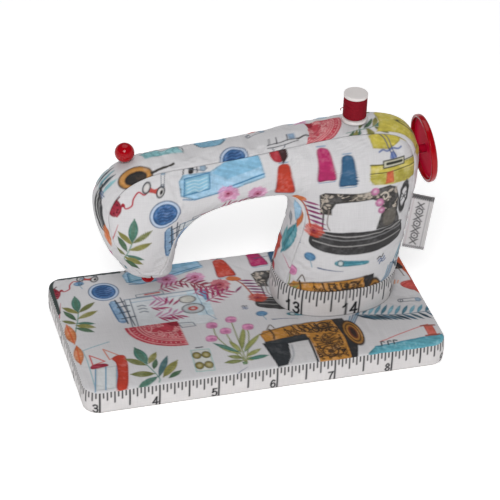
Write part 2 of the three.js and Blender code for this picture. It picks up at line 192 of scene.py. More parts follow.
# ------------------------------------------------------------------ print painter
SOFT = 0.5  # width of a printed edge
LINE = "2c2f36"  # the usual colour of a drawn line


def to_stroke(p, q, a, b):
    """Distance to the stretch from a to b, and the share along it."""
    x, y = b[0] - a[0], b[1] - a[1]
    s = np.clip(((p - a[0]) * x + (q - a[1]) * y) / max(x * x + y * y, 1e-9), 0, 1)
    return np.hypot(p - a[0] - x * s, q - a[1] - y * s), s


class Cloth:
    """The printed colours of one cloth piece, on its flat coordinates."""

    def __init__(self, u, v, ground="c8c7c9"):
        self.u, self.v = u.ravel(), v.ravel()
        self.rgb = np.outer(0.96 + 0.07 * mottle(self.u, self.v, 14), linear(ground))

    def print(self, motifs, x=0.0, y=0.0, shifts={}):
        """Paints (motif, reach, x, y, turn, size) entries, moved by (x, y) and by a motif's shift."""
        for motif, reach, mx, my, *more in motifs:
            dx, dy = shifts.get(motif, (0, 0))
            motif(Patch(self, mx + dx + x, my + dy + y, reach, *more))


class Patch:
    """The part of a cloth near one motif, in the motif's own millimetres."""

    def __init__(self, cloth, x, y, reach, turn=0.0, size=1.0):
        dx, dy = cloth.u - x, cloth.v - y
        self.near = np.flatnonzero((np.abs(dx) < reach * size) & (np.abs(dy) < reach * size))
        dx, dy = dx[self.near], dy[self.near]
        c, s = math.cos(math.radians(turn)), math.sin(math.radians(turn))
        self.p, self.q = (dx * c + dy * s) / size, (dy * c - dx * s) / size
        self.size, self.cloth = size, cloth
        u, v = cloth.u[self.near], cloth.v[self.near]
        self.wet = mottle(u, v, 3.4) + 0.35 * noise(u, v, 0.8) - 0.68
        self.brush = noise(self.p * 0.35 + self.q, self.q * 0.12, 0.7) - 0.5

    def lay(self, distance, colour, wet=0.7, rim=0.22, strength=1.0):
        """A wash of colour where distance is below zero, mottled inside and darker at its rim."""
        if not len(self.near):
            return
        distance, colour = distance * self.size, linear(colour)
        cover = np.clip(0.5 - distance / SOFT, 0, 1)[:, None] * strength
        edge = rim * np.exp(-((np.minimum(distance, 0) + 0.25) / 0.45) ** 2)
        tone = np.outer(1 + wet * (0.5 * self.wet + 0.25 * self.brush) - edge, colour)
        fade = min(1, 0.3 + 2 * float(np.mean(colour)))
        pale = np.clip(wet * self.wet * 0.7, 0, 0.5)[:, None] * fade
        below = self.cloth.rgb[self.near]
        tone = np.clip(tone * (1 - pale) + below * pale, 0, 1)
        self.cloth.rgb[self.near] = below * (1 - cover) + tone * cover

    def facet(self, points, colour, **look):
        """Filled outlines with straight sides."""
        for line in as_lines(points):
            best, inside = np.full(len(self.p), 1e9), np.zeros(len(self.p), bool)
            for (x0, y0), (x1, y1) in zip(line, np.roll(line, -1, 0)):
                best = np.minimum(best, to_stroke(self.p, self.q, (x0, y0), (x1, y1))[0])
                crossed = (y0 <= self.q) != (y1 <= self.q)
                rise = y1 - y0 if y1 != y0 else 1e-9
                inside ^= crossed & (self.p < (x1 - x0) * (self.q - y0) / rise + x0)
            self.lay(np.where(inside, -best, best), colour, **look)

    def shape(self, points, colour, **look):
        """Filled outlines with smooth sides."""
        for line in as_lines(points):
            self.facet(smoothed(line, True), colour, **look)

    def rule(self, points, width, colour=LINE, taper=0.0, **look):
        """Straight lines from point to point."""
        for line in as_lines(points):
            best, count = np.full(len(self.p), 1e9), len(line) - 1
            for i in range(count):
                d, s = to_stroke(self.p, self.q, line[i], line[i + 1])
                best = np.minimum(best, d - width / 2 * (1 - taper * (i + s) / count))
            self.lay(best, colour, **{"wet": 0.35, "rim": 0.0, **look})

    def stroke(self, points, width, colour=LINE, **look):
        """Smooth lines through the points."""
        for line in as_lines(points):
            self.rule(smoothed(line), width, colour, **look)

    def box(self, x0, y0, x1, y1, colour, **look):
        self.facet([(x0, y0), (x1, y0), (x1, y1), (x0, y1)], colour, **look)

    def outline(self, points, width=0.4, colour="3a4a5c", **look):
        for line in as_lines(points):
            self.rule(np.vstack([line, line[:1]]), width, colour, **look)

    def oval(self, x, y, a, b, colour, turn=0.0, ring=None, **look):
        c, s = math.cos(math.radians(turn)), math.sin(math.radians(turn))
        dx, dy = self.p - x, self.q - y
        share = np.hypot((dx * c + dy * s) / a, (dy * c - dx * s) / b)
        distance = (share - 1) * min(a, b)
        self.lay(distance if ring is None else np.abs(distance) - ring / 2, colour, **look)

    def leaf(self, root, tip, width, colour, **look):
        d, s = to_stroke(self.p, self.q, root, tip)
        self.lay(d - width / 2 * np.sin(np.pi * np.clip(s, 0.03, 0.97)) ** 0.75, colour, **look)

    def curls(self, x0, y0, x1, y1, x, y, size, level, width, colour, **look):
        """Filigree inside a rectangle: the level lines of a mottled field that starts at (x, y)."""
        inside = np.maximum(np.abs(self.p - (x0 + x1) / 2) - (x1 - x0) / 2,
                            np.abs(self.q - (y0 + y1) / 2) - (y1 - y0) / 2)
        line = (np.abs(mottle(self.p + x, self.q + y, size) - level) - width) * 7
        self.lay(np.maximum(line, inside), colour, rim=0, **look)


TEAL, OLIVE, GREEN, MOSS = "4a7a6c", "938e4c", "46694e", "777a44"
RED, CORAL, ORANGE, MAGENTA = "a82838", "c0504a", "b43a28", "a82c62"
PINK, ROSE, CRIMSON = "c686ac", "a63e68", "86223f"
SKY, SLATE, YELLOW, OCHRE, BLACK = "9abfd8", "36566a", "c0b24c", "b47e36", "2a2727"


# ------------------------------------------------------------------ motifs
def curl_and_bobbin(m):
    m.stroke("-2,1 -4,-1.4 -6.4,-.2 -8.6,-2.8 -9.4,-5.8 -12,-7 -13,-5 -14.6,-8.6 -15.6,-10.8", 0.65,
             RED)
    m.oval(-13, -5.6, 0.8, 0.8, RED)
    m.shape("-2.6,2.4 .2,.6 2.9,1.2 2,-1.8 -.2,-1 -3.4,0", CORAL)
    for x, y in ((-3, 1.4), (2.8, -0.8)):
        m.oval(x, y, 1.5, 2.3, "cfcccb", turn=-25, wet=0.1)
        m.oval(x, y, 1.5, 2.3, LINE, turn=-25, ring=0.5)
    m.oval(3.1, -0.9, 0.6, 1.1, BLACK, turn=-25)


def big_button(m):
    m.oval(0, 0, 6.6, 6.6, "b4c3d8", wet=0.3)
    m.oval(0, 0, 6.6, 6.6, "3f5878", ring=0.4)
    m.oval(0, 0, 5.2, 5.2, "3d6698", wet=1.2)
    m.oval(0, 0, 5.0, 5.0, "35608f", ring=0.6)
    for k in range(5):
        y = 2.9 - 1.45 * k
        half = math.sqrt(16 - y * y) * 0.8
        m.stroke([(-half, y), (-half / 3, y + 0.4), (half / 3, y - 0.3), (half, y + 0.2)], 0.9,
                 "1c3660",
                 strength=0.7)


def fern(m, stem, leaves):
    m.stroke(stem, 0.5, "5d8a7c")
    for ends, width, colour in leaves:
        m.leaf(*as_lines(ends)[0], width, colour)
        m.leaf(*as_lines(ends)[0], width * 0.45, "46543a", rim=0, strength=0.4)


def sprig(m):
    fern(m, "0.4,2.6 -1,-3 -3,-9 -4,-12", (
        ("0,2 1,13.5", 4.0, TEAL), ("0,1 -5.6,7.4", 2.6, OLIVE), (".4,1.6 8.4,7.2", 2.7, MOSS),
        ("-.8,-2.6 8.2,.8", 3.0, OLIVE), ("-1.8,-3.4 -5.6,4.6", 2.5, GREEN),
        ("-2,-5.6 5.4,-8", 2.2, TEAL),
        ("-2.6,-7 5,-10.6", 3.0, OLIVE), ("-3,-8.6 3.8,-13.6", 2.6, GREEN),
        ("-2.4,-5.8 -7.4,-1.6", 2.2, MOSS),
    ))


def low_sprig(m):
    fern(m, "-3.4,9 -1.4,4 0.6,-2 0,-4", (
        ("-2.4,8 -5,19.5", 5.0, TEAL), ("-3,7 -10.5,13", 3.4, MOSS), ("-1.6,8 3,14.5", 3.0, OLIVE),
        ("-.4,4 2,10", 2.4, GREEN), ("-.8,1 -10.6,2.6", 3.6, MOSS), (".6,-1 7,11", 3.0, "4a7078"),
        ("2.4,-1.5 10.5,7.4", 3.8, OLIVE), ("4.5,-2.5 10.6,.8", 2.4, GREEN),
        ("0,-1 -9,-5", 3.0, TEAL),
    ))


def blue_machine(m):
    m.facet("0,-3.4 -.6,3 1.4,5.6 13,6 20,9.4 34.6,11.2 36,1.2 20,-3.6 6,-5.8", SKY, wet=1.0,
            rim=0.35)
    m.facet("14,5.2 20,9.2 34.8,11 35,6 20,2", "6aa6c6", wet=0.9, rim=0, strength=0.6)
    m.facet("1.6,-3.2 12.2,-1.6 12.6,5 2.2,3.6", "84b4cc", wet=0.5)
    m.outline("1.4,-3.2 12.4,-1.4 12.8,5.4 2,3.8", 0.5, "2f6f97")
    for k in range(4):
        m.stroke([(2.8, -2 + 1.4 * k), (6, -1 + 1.3 * k), (8, -1.9 + 1.5 * k),
                  (11.4, -0.4 + 1.3 * k)],
                 0.35, "b4ccd6")
    m.stroke("20,-1.6 35.6,2.8", 0.6, "2f6f97")
    m.stroke("1,-4.8 7,-5.4 20,-3.2", 0.5, "2f6f97")
    m.stroke("1.5,5.8 2.4,8.2 7.4,8.8 7.6,6.2", 0.5)
    m.shape("4,6 4.4,9 6.2,9.2 6,6.2", BLACK)
    m.stroke("5,9 4.4,12 2,13.6", 0.6)


def flower(m, colour=PINK, heart=ROSE, a=5.4, b=5.4):
    angle, share = np.arctan2(m.q / b, m.p / a), np.hypot(m.p / a, m.q / b)
    petals = 0.86 + 0.04 * np.cos(angle * 9) + 0.05 * np.sin(angle * 31) + 0.22 * m.brush
    m.lay((share - petals) * min(a, b) * 0.7, colour, wet=1.3, rim=0, strength=0.85)
    rays = (np.abs(np.sin(angle * 11 + 3 * m.brush)) - 0.25) * share * 3
    m.lay(rays + np.maximum(share - 0.75, 0) * 9, heart, wet=0.8, rim=0, strength=0.3)
    m.oval(0, 0, a * 0.38, b * 0.38, heart, wet=1.2, rim=0, strength=0.6)
    m.oval(0, 0, a * 0.12, b * 0.12, CRIMSON)


coral_bloom = partial(flower, colour="b4505e", heart="9a263c")
warm_bloom = partial(flower, colour="b4442f", heart="86222f", a=5.0, b=3.8)


def twig(m, colour=CRIMSON):
    m.stroke("0,0 6,.6 12,0", 0.45, colour)
    for k in range(5):
        x = 12.0 * (k + 0.4) / 5
        for side in (1, -1):
            m.leaf((x, 0.3), (x + 2.9, side * (4.2 - 0.4 * k)), 0.95, colour)


dark_twig = partial(twig, colour="8a2440")
bright_twig = partial(twig, colour=MAGENTA)


def safety_pin(m, colour="4d5763"):
    m.outline("-5,-1 4,-1.3 5.2,0 4,1.3 -4.6,1", 0.42, colour)
    m.oval(-4.8, 0, 1.1, 1.1, colour, ring=0.45)
    m.shape("2.4,-1.2 4.6,-1.2 4.6,1.2 2.4,1.2", "8ca0b2")


def cone(m, colour=ORANGE, cap="a8303a"):
    m.outline("-3.4,-7.7 3.4,-7.7 3.6,-6.4 -3.6,-6.4", 0.35, "5b7fa0")
    m.outline("-1.8,7.6 1.8,7.6", 0.35, "5b7fa0")
    m.shape("-3.9,-6.6 0,-6.9 4,-6.6 3.3,0 2.5,5.6 .9,7 -1.2,7 -2.7,5.6 -3.4,0", colour, wet=0.8)
    m.rule("-3.4,0 -3.9,-6.6 4,-6.6 3.3,0", 0.35, "2c3c58", strength=0.4)
    if cap:
        m.shape("-4.4,11 -3.4,8.4 -.4,8.2 .6,12.6 -2.6,13.2", cap)
        m.facet("-.4,7 2.4,9.6 3.2,13 -.4,13", "3c2426")


def lace_fan(m):
    """A quarter of a round lace fan with its tip at the origin, opening to the left and down."""
    far, turn = np.hypot(m.p / 1.32, m.q), np.arctan2(m.q, m.p / 1.32)
    wedge = (np.abs(turn + 0.75 * np.pi) - 0.82) * far
    field = np.maximum(np.maximum(far - 11.9, 3.4 - far), wedge)
    swirl = mottle(m.p + 40, m.q, 4.4)
    pale = partial(m.lay, colour="cf9a9a", wet=0.1, rim=0)
    m.lay(np.maximum(far - 17.5, wedge), "b43c4a", wet=0.9, rim=0.1)
    for r in (16.3, 13.6, 12.6):
        pale(np.maximum(np.abs(far - r) - 0.2, wedge))
    pale(np.maximum(np.hypot(far - 15, np.sin(turn * 30) * 1.1) - 0.4, wedge))
    for level in (0.38, 0.52, 0.66):
        pale(np.maximum((np.abs(swirl - level) - 0.035) * 9, field), strength=0.9)
    m.lay(np.maximum(np.abs(far - 7.6) - 0.25, wedge), "8e1c2e", wet=0.1, rim=0, strength=0.7)
    m.lay(np.maximum(far - 3.6, wedge), "8e1c2e", rim=0.1)


def old_machine(m):
    """A black cast machine with gilt flowers, its needle end to the left."""
    m.oval(21.5, 2.5, 2.2, 6.2, "3b3b3c", turn=-8, ring=1.3)
    for k in range(3):
        m.stroke([(20.2, 4.5 - 2 * k), (22.8, 0.8 + 1.8 * k)], 0.5, "3b3b3c")
    m.facet("-17.6,8.2 -15.4,9.6 3,8.8 8,10.4 13,11 17,8.8 18.6,3 18,-3 20.4,-9.6 7.6,-9.8 9.8,-2 9.2,3.4 "
            "5.4,5.2 -4,4.8 -10.4,3.8 -12,.8 -12,-1.8 -16.8,-1.8", "3c3a39", wet=1.0)
    m.facet("11.2,17.4 14.4,17.6 15,12 10.8,12", "c0583e")
    m.shape("-2,8.7 8,9.4 7,6.4 -3,6.2", "7c766a", strength=0.5)
    m.shape("11,-2 16.6,-1.4 17,-8.4 11.4,-8.4", "7c766c", strength=0.45)
    for part in ((-17, -1.4, -12.4, 8.4), (-10, 5.6, 8, 9), (10.6, -1, 17.6, 9.6)):
        m.curls(*part, 90, 0, 3.0, 0.5, 0.035, "c2b6a8", wet=0.2, strength=0.9)
    for x, y in ((-14.6, 8), (-12.6, 7.4), (-14.4, 5.4), (-13.6, 3), (-14.8, 1.6), (0, 7.8),
                 (2.2, 7.6),
                 (14, 8), (16.6, 6.6), (13, 5)):
        m.oval(x, y, 1.0, 0.55, "bdb2a6", turn=40 * x)
    for x, y, r in ((6.2, 9, 1.9), (8.6, 3.2, 2.0), (9.6, -0.6, 1.6)):
        m.oval(x, y, r, r, "bf7aa0", wet=1.0)
        m.oval(x, y, r * 0.35, r * 0.35, "d8bccb")
    m.stroke("9,7 11,8 12.6,6 11,4.4 10.2,6", 0.6, "c9bfb2")
    m.stroke("-15.4,0 -15.8,-9", 0.8, "4a4644")
    m.stroke("-13.2,.4 -13.8,-6 -12.6,-9", 0.5, "7a6f6a")
    m.shape("-18.6,-9.8 -6,-10 8,-10 20.6,-9.4 22,-11.6 22.4,-15 20.6,-17.6 14,-19.6 4,-20.6 -8,-20.2 "
            "-18,-18.2 -21.6,-15.8 -21,-12", "363536", wet=0.7)
    for bow, tone in ((-11.0, "b3b1b0"), (-12.6, "8d8d8e"), (-15.4, "b0aeac")):
        m.stroke([(-20, bow + 0.8), (-8, bow - 0.8), (8, bow - 0.9), (21, bow + 0.9)], 0.36, tone,
                 strength=0.85)


def brass_machine(m):
    """An ochre and black machine with its handwheel at the right end."""
    m.facet("-19,9 -17,11.4 -6,12.6 6,13.8 17,14 18,7 18,-13 1.4,-12.6 1,2.8 -8,2 -18,3", OCHRE,
            wet=0.9)
    m.facet("-18.4,3.8 -6,5.4 .4,5.8 .6,2.4 -10,.8 -18.6,1.2", "2e3438")
    m.facet("-19.6,3 -8.4,1.6 -10,-8 -12.4,-12 -17,-12.4", "2b2f33")
    m.facet("-8.6,.8 .2,2.2 0,-12.4 -12,-12.4 -9.4,-7", "c4c3c4", wet=0.2, rim=0.05)
    m.stroke("-7.6,-.6 -8.6,-7 -11,-11", 0.9, "9da0a4")
    m.facet("14.4,14.2 19.4,14.4 20.6,6 20.2,-6 18,-13.2 15.4,-13 16,0", "2a2a2c")
    m.oval(20.6, 2.4, 3.7, 8.8, OCHRE, turn=4)
    m.oval(20.6, 2.4, 3.7, 8.8, "2e241d", turn=4, ring=0.6)
    m.oval(20.6, 2.4, 2.5, 6.4, "2e241d", turn=4, ring=0.5)
    m.oval(20.7, 2.4, 1.7, 4.8, "6e3a26", turn=4)
    m.oval(20.8, 2.4, 1.0, 3.4, "33241f", turn=4)
    for part in ((-8, 5.4, 14, 12.6), (1.6, -12, 14.6, 4.6)):
        for level in (0.42, 0.56):
            m.curls(*part, 60, 9, 3.4, level, 0.045, "2a2018", wet=0.3)
    m.facet("1,-12.6 1.2,3 -8,2.4 -8,.9 .2,1.4 0,-12.6", "2b2f33")
    m.stroke("-14,12 -13.2,8 -13.8,5", 0.9, "4a3a2a")
    m.stroke("-15,12 -12.8,15.2 -11.6,12.4", 0.5, "4a3a2a")
    for k in range(5):
        m.stroke([(-4 + 2.6 * k, 12.4), (-3 + 2.6 * k, 9.6), (-1.4 + 2.4 * k, 8)], 0.8, "33291f")
    for x, y, r in ((9.4, 10, 2.4), (13, 6.6, 1.8), (5.6, 8, 1.4)):
        m.oval(x, y, r, r, "33291f", ring=0.8)
    m.oval(7.6, -7.6, 3.3, 3.3, "4a3520", ring=0.8)
    m.oval(7.6, -7.6, 1.3, 1.3, "4a3520")
    for k in range(4):
        m.stroke([(3, 2 - 2 * k), (7, 0.4 - 1.2 * k), (12, 2.6 - 1.8 * k)], 0.6, "4a3520")
    m.stroke("-19.4,9 -6,12.8 16,14.2", 0.45, "4a3a2a")


def pale_machine(m):
    """A pale modern machine drawn in thin blue lines, its needle end to the left."""
    m.facet("-15.6,10 16,10.6 20.4,10 20,-12.4 15,-14.6 -17,-11.6", "c9cdd0", wet=0.3)
    m.facet("12,10 20.4,10 20,-9 13,-8", "b9cbd4", wet=0.8, rim=0)
    m.facet("17.4,9.6 20.4,9.6 20.8,2 18.6,2.4", "6a96b8")
    m.rule("-15.6,10 16,10.6 20.6,9.8", 0.45, "4f6f8a")
    m.stroke("-13,7.4 15,8", 0.35, "7fa0b8")
    for x in (-15.6, -13.2):
        m.stroke([(x, 10), (x - 0.8, -11.6)], 0.5, "5a6470")
    m.rule("16,8 17,-8 20,-12.4", 0.35, "5f86a3")
    m.outline("-10,12.4 2,13.2 2.2,10.8 -10,10.6", 0.4, "5a6a78")
    m.stroke("-6,11.8 .6,12.2", 0.8, "b0413f")
    m.oval(11.2, 4.4, 3.6, 2.6, "bdbcb4")
    m.oval(11.2, 4.4, 3.6, 2.6, "77777a", ring=0.5)
    m.oval(12, -2.6, 4.8, 3.5, "b4babd")
    m.oval(12, -2.6, 4.8, 3.5, "6a6c70", ring=0.5)
    m.oval(12, -2.6, 2.2, 1.6, CORAL)
    m.oval(12, -2.6, 0.9, 0.7, "d2c4c4")
    m.shape("-22.6,8.6 -18.8,9 -17.4,-4.6 -21.4,-5", "7f9dba", wet=1.2)
    m.rule("-22.6,8.6 -21.2,-5 -17.6,-5.2", 0.45, "3a5f88")
    m.stroke("-19.6,10.6 -18.6,2 -17.8,-7", 0.7, "36424f")
    m.stroke("-17,12 -16.2,2 -15.2,-9", 0.55, "3c4856")
    for y, long in ((8.4, 3.4), (5.2, 5.4), (1.0, 4.4), (-3.2, 5.8)):
        m.stroke([(-19.6, y), (-19.6 + long, y + 0.5)], 0.7, "3c4856")
    for k in range(3):
        m.stroke([(-11, 4 - 2.2 * k), (-9, 4.4 - 2.2 * k), (-7.6, 3.6 - 2.2 * k)], 0.8, "6d7680",
                 strength=0.8)
    for x, y, dx, dy, colour in (
        (-3, 2, 6.4, 2.4, PINK), (-2.4, 1, 5, -1, MAGENTA), (3, 4, -1.6, 4, PINK),
        (4, 1.6, 4, 3.4, MAGENTA), (-2, -6, 6, 1.4, PINK), (-1, -6.4, 5.6, -2, MAGENTA),
        (4, -5, 4, 1.8, PINK), (4.4, -6, 4.4, -2.4, MAGENTA),
    ):
        for k in range(3):
            m.leaf((x - 1.6 * k, y + 0.6 * k),
                   (x + dx - 2.4 * k, y + dy + (1.6 if dy > 0 else -0.6) * k),
                   1.1, colour)
    m.outline("3,-11.6 9.4,-12.4 10,-15 4,-15", 0.45, "5a6470")


def pattern_box(m):
    """An open paper bag drawn in thin lines with a coral bow and an orange roll beside it."""
    m.stroke("-8,12 -7.6,4 -8,-14", 0.4, "7fa7b0")
    m.stroke("-8,12 4,15", 0.45, "6f9aa8")
    m.facet("-8.4,-15 .6,-15 3.8,-1.4 -5.4,-1.4", "c9cccd", wet=0.2)
    for x in (-5.4, -1, 3.8):
        m.stroke([(x, -1.4), (x - 3, -15)], 0.5, "4f86a8")
    m.rule("-6,8 -6,1 -.6,2.4 -6,8", 0.6, CORAL)
    m.rule(".4,10.6 1.6,3 6,5 .4,10.6", 0.6, "c47c68")
    m.shape("-6.4,1.2 -1,1 0,-1 -6.8,-1.4", "96243a")
    m.shape("2.6,3 4.6,5 8,4.6 8.6,1 7.8,-5 4.9,-15.8 .6,-15.8 2.8,-7 3.6,0", ORANGE)


def tulips(m):
    dull, pale, cool = "7c8450", "959a5c", "6a8660"
    for x, y, bend in ((-8, 13, -3), (1, 15, 0), (6.4, 9, 2), (-3.4, 7.6, -1)):
        m.stroke([(x, y), (x * 0.6 + bend, y * 0.3), (0, -15)], 0.6, dull)
    for x, y, colour in (
        (-9, -2, pale), (-7, -9, dull), (7.4, 0.6, cool), (8.6, -7, pale), (-3.6, 1.4, pale),
        (4.6, -12.4, pale), (3, 5, dull), (-11, 1.4, TEAL), (10.8, -12, TEAL), (-9.6, -13, dull),
        (11, 3.4, pale), (5.4, 10, pale), (-1.4, -15.6, cool),
    ):
        m.leaf((x * 0.12, y * 0.4 - 8), (x, y), 2.6, colour)
    petals = as_lines("-2.6,-.8 -2,2 .4,2.8 2.8,1.4 2,-1.6 -.6,-2")[0]
    for x, y in ((-8.4, 14), (1.2, 16.4), (7.2, 9.4), (-3.4, 8.6), (-11, 4.6)):
        m.shape(petals + (x, y), "cc86ac", wet=1.1)
        m.oval(x + 0.6, y - 0.2, 1.3, 1.0, "a85a88", strength=0.6)


def button_card(m):
    m.box(-4, -7, 4, 7, "c6c8c4", wet=0.2)
    m.outline("-4,-7 4,-7 4,7 -4,7", 0.35, "8fb7b4")
    m.stroke("-1.4,8.4 1.4,8.6", 0.7)
    for x in (-2, 2):
        for y in (-3.4, 3.2):
            m.oval(x, y, 1.8, 2.1, "8a7f42")
            m.oval(x, y, 0.9, 1.0, "b5ad86")
            m.oval(x, y, 1.8, 2.1, "5d5528", ring=0.4)


def frond(m):
    route = [(-18, 3), (-8, 0), (4, -2.6), (19, -1.4)]
    m.stroke(route, 0.4, SLATE)
    for k, (x, y) in enumerate(smoothed(route, steps=8)[1::2]):
        size = 1 - 0.03 * k
        m.leaf((x, y), (x + 5.6 * size, y + 7.6 * size), 1.7, ("6aa0b4", "3e7488", "7fb0c2")[k % 3])
        m.leaf((x, y), (x + 7.0 * size, y - 6.4 * size), 1.6, ("2c4656", "3a6278", "44606c")[k % 3])


def aqua_machine(m):
    m.facet("-17,-2.4 -13,.6 18,3 20,-1 18,-6 -16,-6", "5fa4b4", wet=1.2)
    m.stroke("-13,.6 18,3", 0.5, "2b7f98")
    m.stroke("-10,3.2 2,7 14,10.6", 0.45, CORAL)
    m.box(11.6, 3.2, 15.8, 9.6, "c25e50")
    for y in (3, 9.8):
        m.rule([(10.6, y), (16.8, y + 0.2)], 0.9, "8c4434")
    for x in (-10, -7, -4.4):
        m.stroke([(x, 0.8), (x + 0.3, 3.0), (x + 1.6, 2.6)], 0.7, "3a474c")


def warm_spray(m):
    m.stroke("-6,8.6 -3.4,4.6 -2,0 -1,-5", 0.8, "a4563c")
    m.shape("-9.6,9.4 -7.6,11.2 -4,10 -3,7.8 -7,7.4", "c46c3c", wet=1.0)
    for k in range(6):
        y = 7.4 - 2.3 * k
        m.leaf((-4.6 + 0.7 * k, y), (2.8 + 0.7 * k, y - 1.4), 1.2, ("8a2c64", "6c2f62")[k % 2])
    m.leaf((-4, 3), (-8, -1), 1.2, "8a2c64")


def hot_seat(m):
    """An orange pincushion with a black cap, near the right edge."""
    m.shape("-2,14 6,15 7,-12 0,-10 1,2", "c25836", wet=0.9)
    m.shape("-5,11 -1,13 .6,8 -3.4,7.6", BLACK)
    m.stroke("-2,9 -1,2", 0.5, "6a5a52")
    m.shape("-5,-4 0,-1.6 6,-3 7,-8.6 -1,-9.4", CORAL)
    m.stroke("-4.4,-5 0,-3 5.6,-4.6", 0.45, "9c2f2a")
    for k in range(4):
        m.stroke([(-10 + 1.4 * k, -3), (-9 + 1.4 * k, 0.6 - 0.6 * k)], 0.5, "d98a5a")


def line_machine(m):
    """Thin drawing of a machine's bed with its needle bar."""
    m.stroke("-8,1.4 8,2.2", 0.6)
    m.stroke("-8,-.4 2,-.6 8.4,.4", 0.5)
    m.stroke("-5.6,-1 -3.6,-3.4 0,-3.2 1.4,-.8", 0.5, "4c5866")
    for x in (-7, -3, 2.4):
        m.stroke([(x, 1.6), (x + 0.4, 5.8)], 0.55)
    m.box(3.4, 2.4, 7, 6, "8ca4be")
    m.stroke("8,1.6 12,2.6 14,1.4", 0.9, BLACK)


def stripes(m):
    for k in range(5):
        m.leaf((-7, 5 - 2.3 * k), (6 - 0.6 * k, 4.6 - 2.6 * k), 1.7, ("7fb6bf", "3d5560", "6aa3b0",
               "2f434d", "8cc0c8")[k])


def ring_and_handle(m):
    m.oval(0, 0, 8.4, 4.8, "b98548")
    m.oval(0, 0, 8.4, 4.8, "54402c", ring=0.5)
    m.oval(0, -0.6, 5.6, 3.0, "2e2b2a")
    m.stroke("8,-1 14,-.2 20,1", 1.2, "3a3632")


def case(m):
    """A yellow carrying case, lid open, with a small drawing on its white face."""
    m.facet("-10,10.6 -4.6,12 4,12 4.4,7 -1.4,4.4 -9.6,6 / 4,12 9,13 14,7 12.6,.6 9.4,4.6 3.6,8 / "
            "-11.4,-.6 -11.4,-8 -9,-10.4 8.6,-12.6 13,-11 13.4,-2 0,-2", YELLOW, wet=0.9)
    m.facet("-11.2,-5.6 13,-6.4 12,-12 -10.4,-10.2", "8f8a3c", strength=0.5)
    m.stroke("-11.4,-.8 -4,-1.6 13,-1.6 / -11.4,-4.8 0,-5.4 13,-5", 0.5, "45462a")
    m.box(-5.4, -3.2, 5, 0, "c4c2ae", wet=0.2)
    m.outline("-5.4,-3.2 5,-3.2 5,0 -5.4,0", 0.55, "2f3228")
    m.stroke("-3.6,-1.5 3.6,-1.6", 1.3, "2f3228")
    m.stroke("-5,12 -2.6,7 -.6,.4", 0.5, "34406c")
    m.stroke("-2.6,12 -1,7 1,.6", 0.45, "34406c")
    m.stroke("-7,4.2 -5,4.8 -3,3.9 0,4.6 2.4,3.9 4,4.4", 0.8, "3c5690", strength=0.8)
    m.shape("-2,.4 -1.4,3 .4,3 1.2,.6", "4a68a8", wet=1.2, strength=0.8)


def case_lid(m):
    """The rest of the case's lid, with a line round it and a worn patch."""
    m.facet("-12,-9.6 -11,4 -6,9 6,10 14,4 15,-9.6", YELLOW, wet=0.9)
    m.stroke("-4,4 4,2 9,-3 11,-9", 0.45, "45462a")
    m.stroke("-1,7 8,5 13,-1", 0.4, "6d6c3a", strength=0.7)
    m.oval(1.5, -2.6, 4.4, 1.3, "3f4a3c", turn=-14, ring=0.55)


def sky_cup(m):
    m.shape("-7,4 7.6,4.4 6,-2 2,-4.4 -4,-4 -6.4,-1", "78aac4", wet=1.2)
    m.stroke("-7,4 -6.4,-1 -4,-4 2,-4.4 6,-2 7.6,4.4", 0.45, "3c5c6c")
    for k in range(3):
        m.stroke([(-4 + 3 * k, 3), (-3.4 + 3 * k, -2.6)], 0.4, "4c7c94", strength=0.6)


def teal_slab(m):
    m.facet("-9,2.8 8,4 9.4,-1.6 -7,-3.2", "88bcc2", wet=1.2)
    m.stroke("-9,2.8 8,4 9.4,-1.6", 0.4, "3a5a5c")
    for k in range(5):
        m.stroke([(-6 + 3 * k, -2.4), (-7 + 3 * k, 0.4), (-5.6 + 3 * k, 2.8)], 0.4, "4a7a80",
                 strength=0.7)


def berry(m):
    m.oval(0, 0, 3.0, 4.0, "94283a", wet=1.2)
    for k in range(7):
        m.oval(1.5 * math.sin(2.4 * k), 2.4 * math.cos(2.4 * k), 0.35, 0.45, "5e1426")
    m.stroke("-1,3.6 -2,5.2 / 1,3.6 2.2,5", 0.5, "5a3038")


def blue_strokes(m):
    for k in range(4):
        m.stroke([(-1 + 1.5 * k, -4 + k), (1.4 + 1.4 * k, 1 + k), (2.6 + 1.5 * k, 4.6 + k)], 0.55,
                 ("3f7c9c", "2f5878")[k % 2])


def pill(m):
    m.shape("-6.4,-1.5 6,-.9 6.6,1 -6.2,1", "4f8f9e", wet=0.9)
    m.oval(-5.2, -0.2, 1.3, 1.3, "c0c9ca")
    m.oval(-5.2, -0.2, 1.3, 1.3, "35626f", ring=0.45)
    m.stroke("-3,.1 5,.5", 0.5, "2f6f80")


def needle(m, colour="3a4f72"):
    m.stroke("-5.6,.4 5.6,-.5", 0.6, colour, taper=0.8)


def scribble(m):
    for k in range(3):
        m.stroke([(-1.8, 2 - 1.7 * k), (-0.4, 2.8 - 1.7 * k), (0.4, 1.6 - 1.7 * k),
                  (2, 2.4 - 1.7 * k)],
                 0.7, "34507c" if k else "2b2d33")


def parallel_lines(m):
    for k, colour in enumerate(("4d5f80", "3b4560", "6a7ea3")):
        m.stroke([(-1.6 + 1.5 * k, 7), (-2.2 + 1.5 * k, -7)], 0.55, colour)
    m.leaf((-3.4, 5.4), (-3.8, -6), 2.6, "84a2c4")
    m.stroke("-1,4 2.4,5.2", 0.6)


def orange_leaf(m):
    m.leaf((0, 7), (0.6, -7), 4.6, "c4784a", wet=1.0)
    m.stroke("0,6 .5,-6", 0.5, "c2502c")


def dark_swoosh(m):
    m.leaf((-1, 9), (1, -9), 5.4, "3a3b3d", wet=1.0)
    m.stroke("-1.4,7 -.6,0 .6,-7", 0.5, "b9b9b8")
    m.stroke(".4,7 .8,0 1.4,-6", 0.4, "8a8a8a")


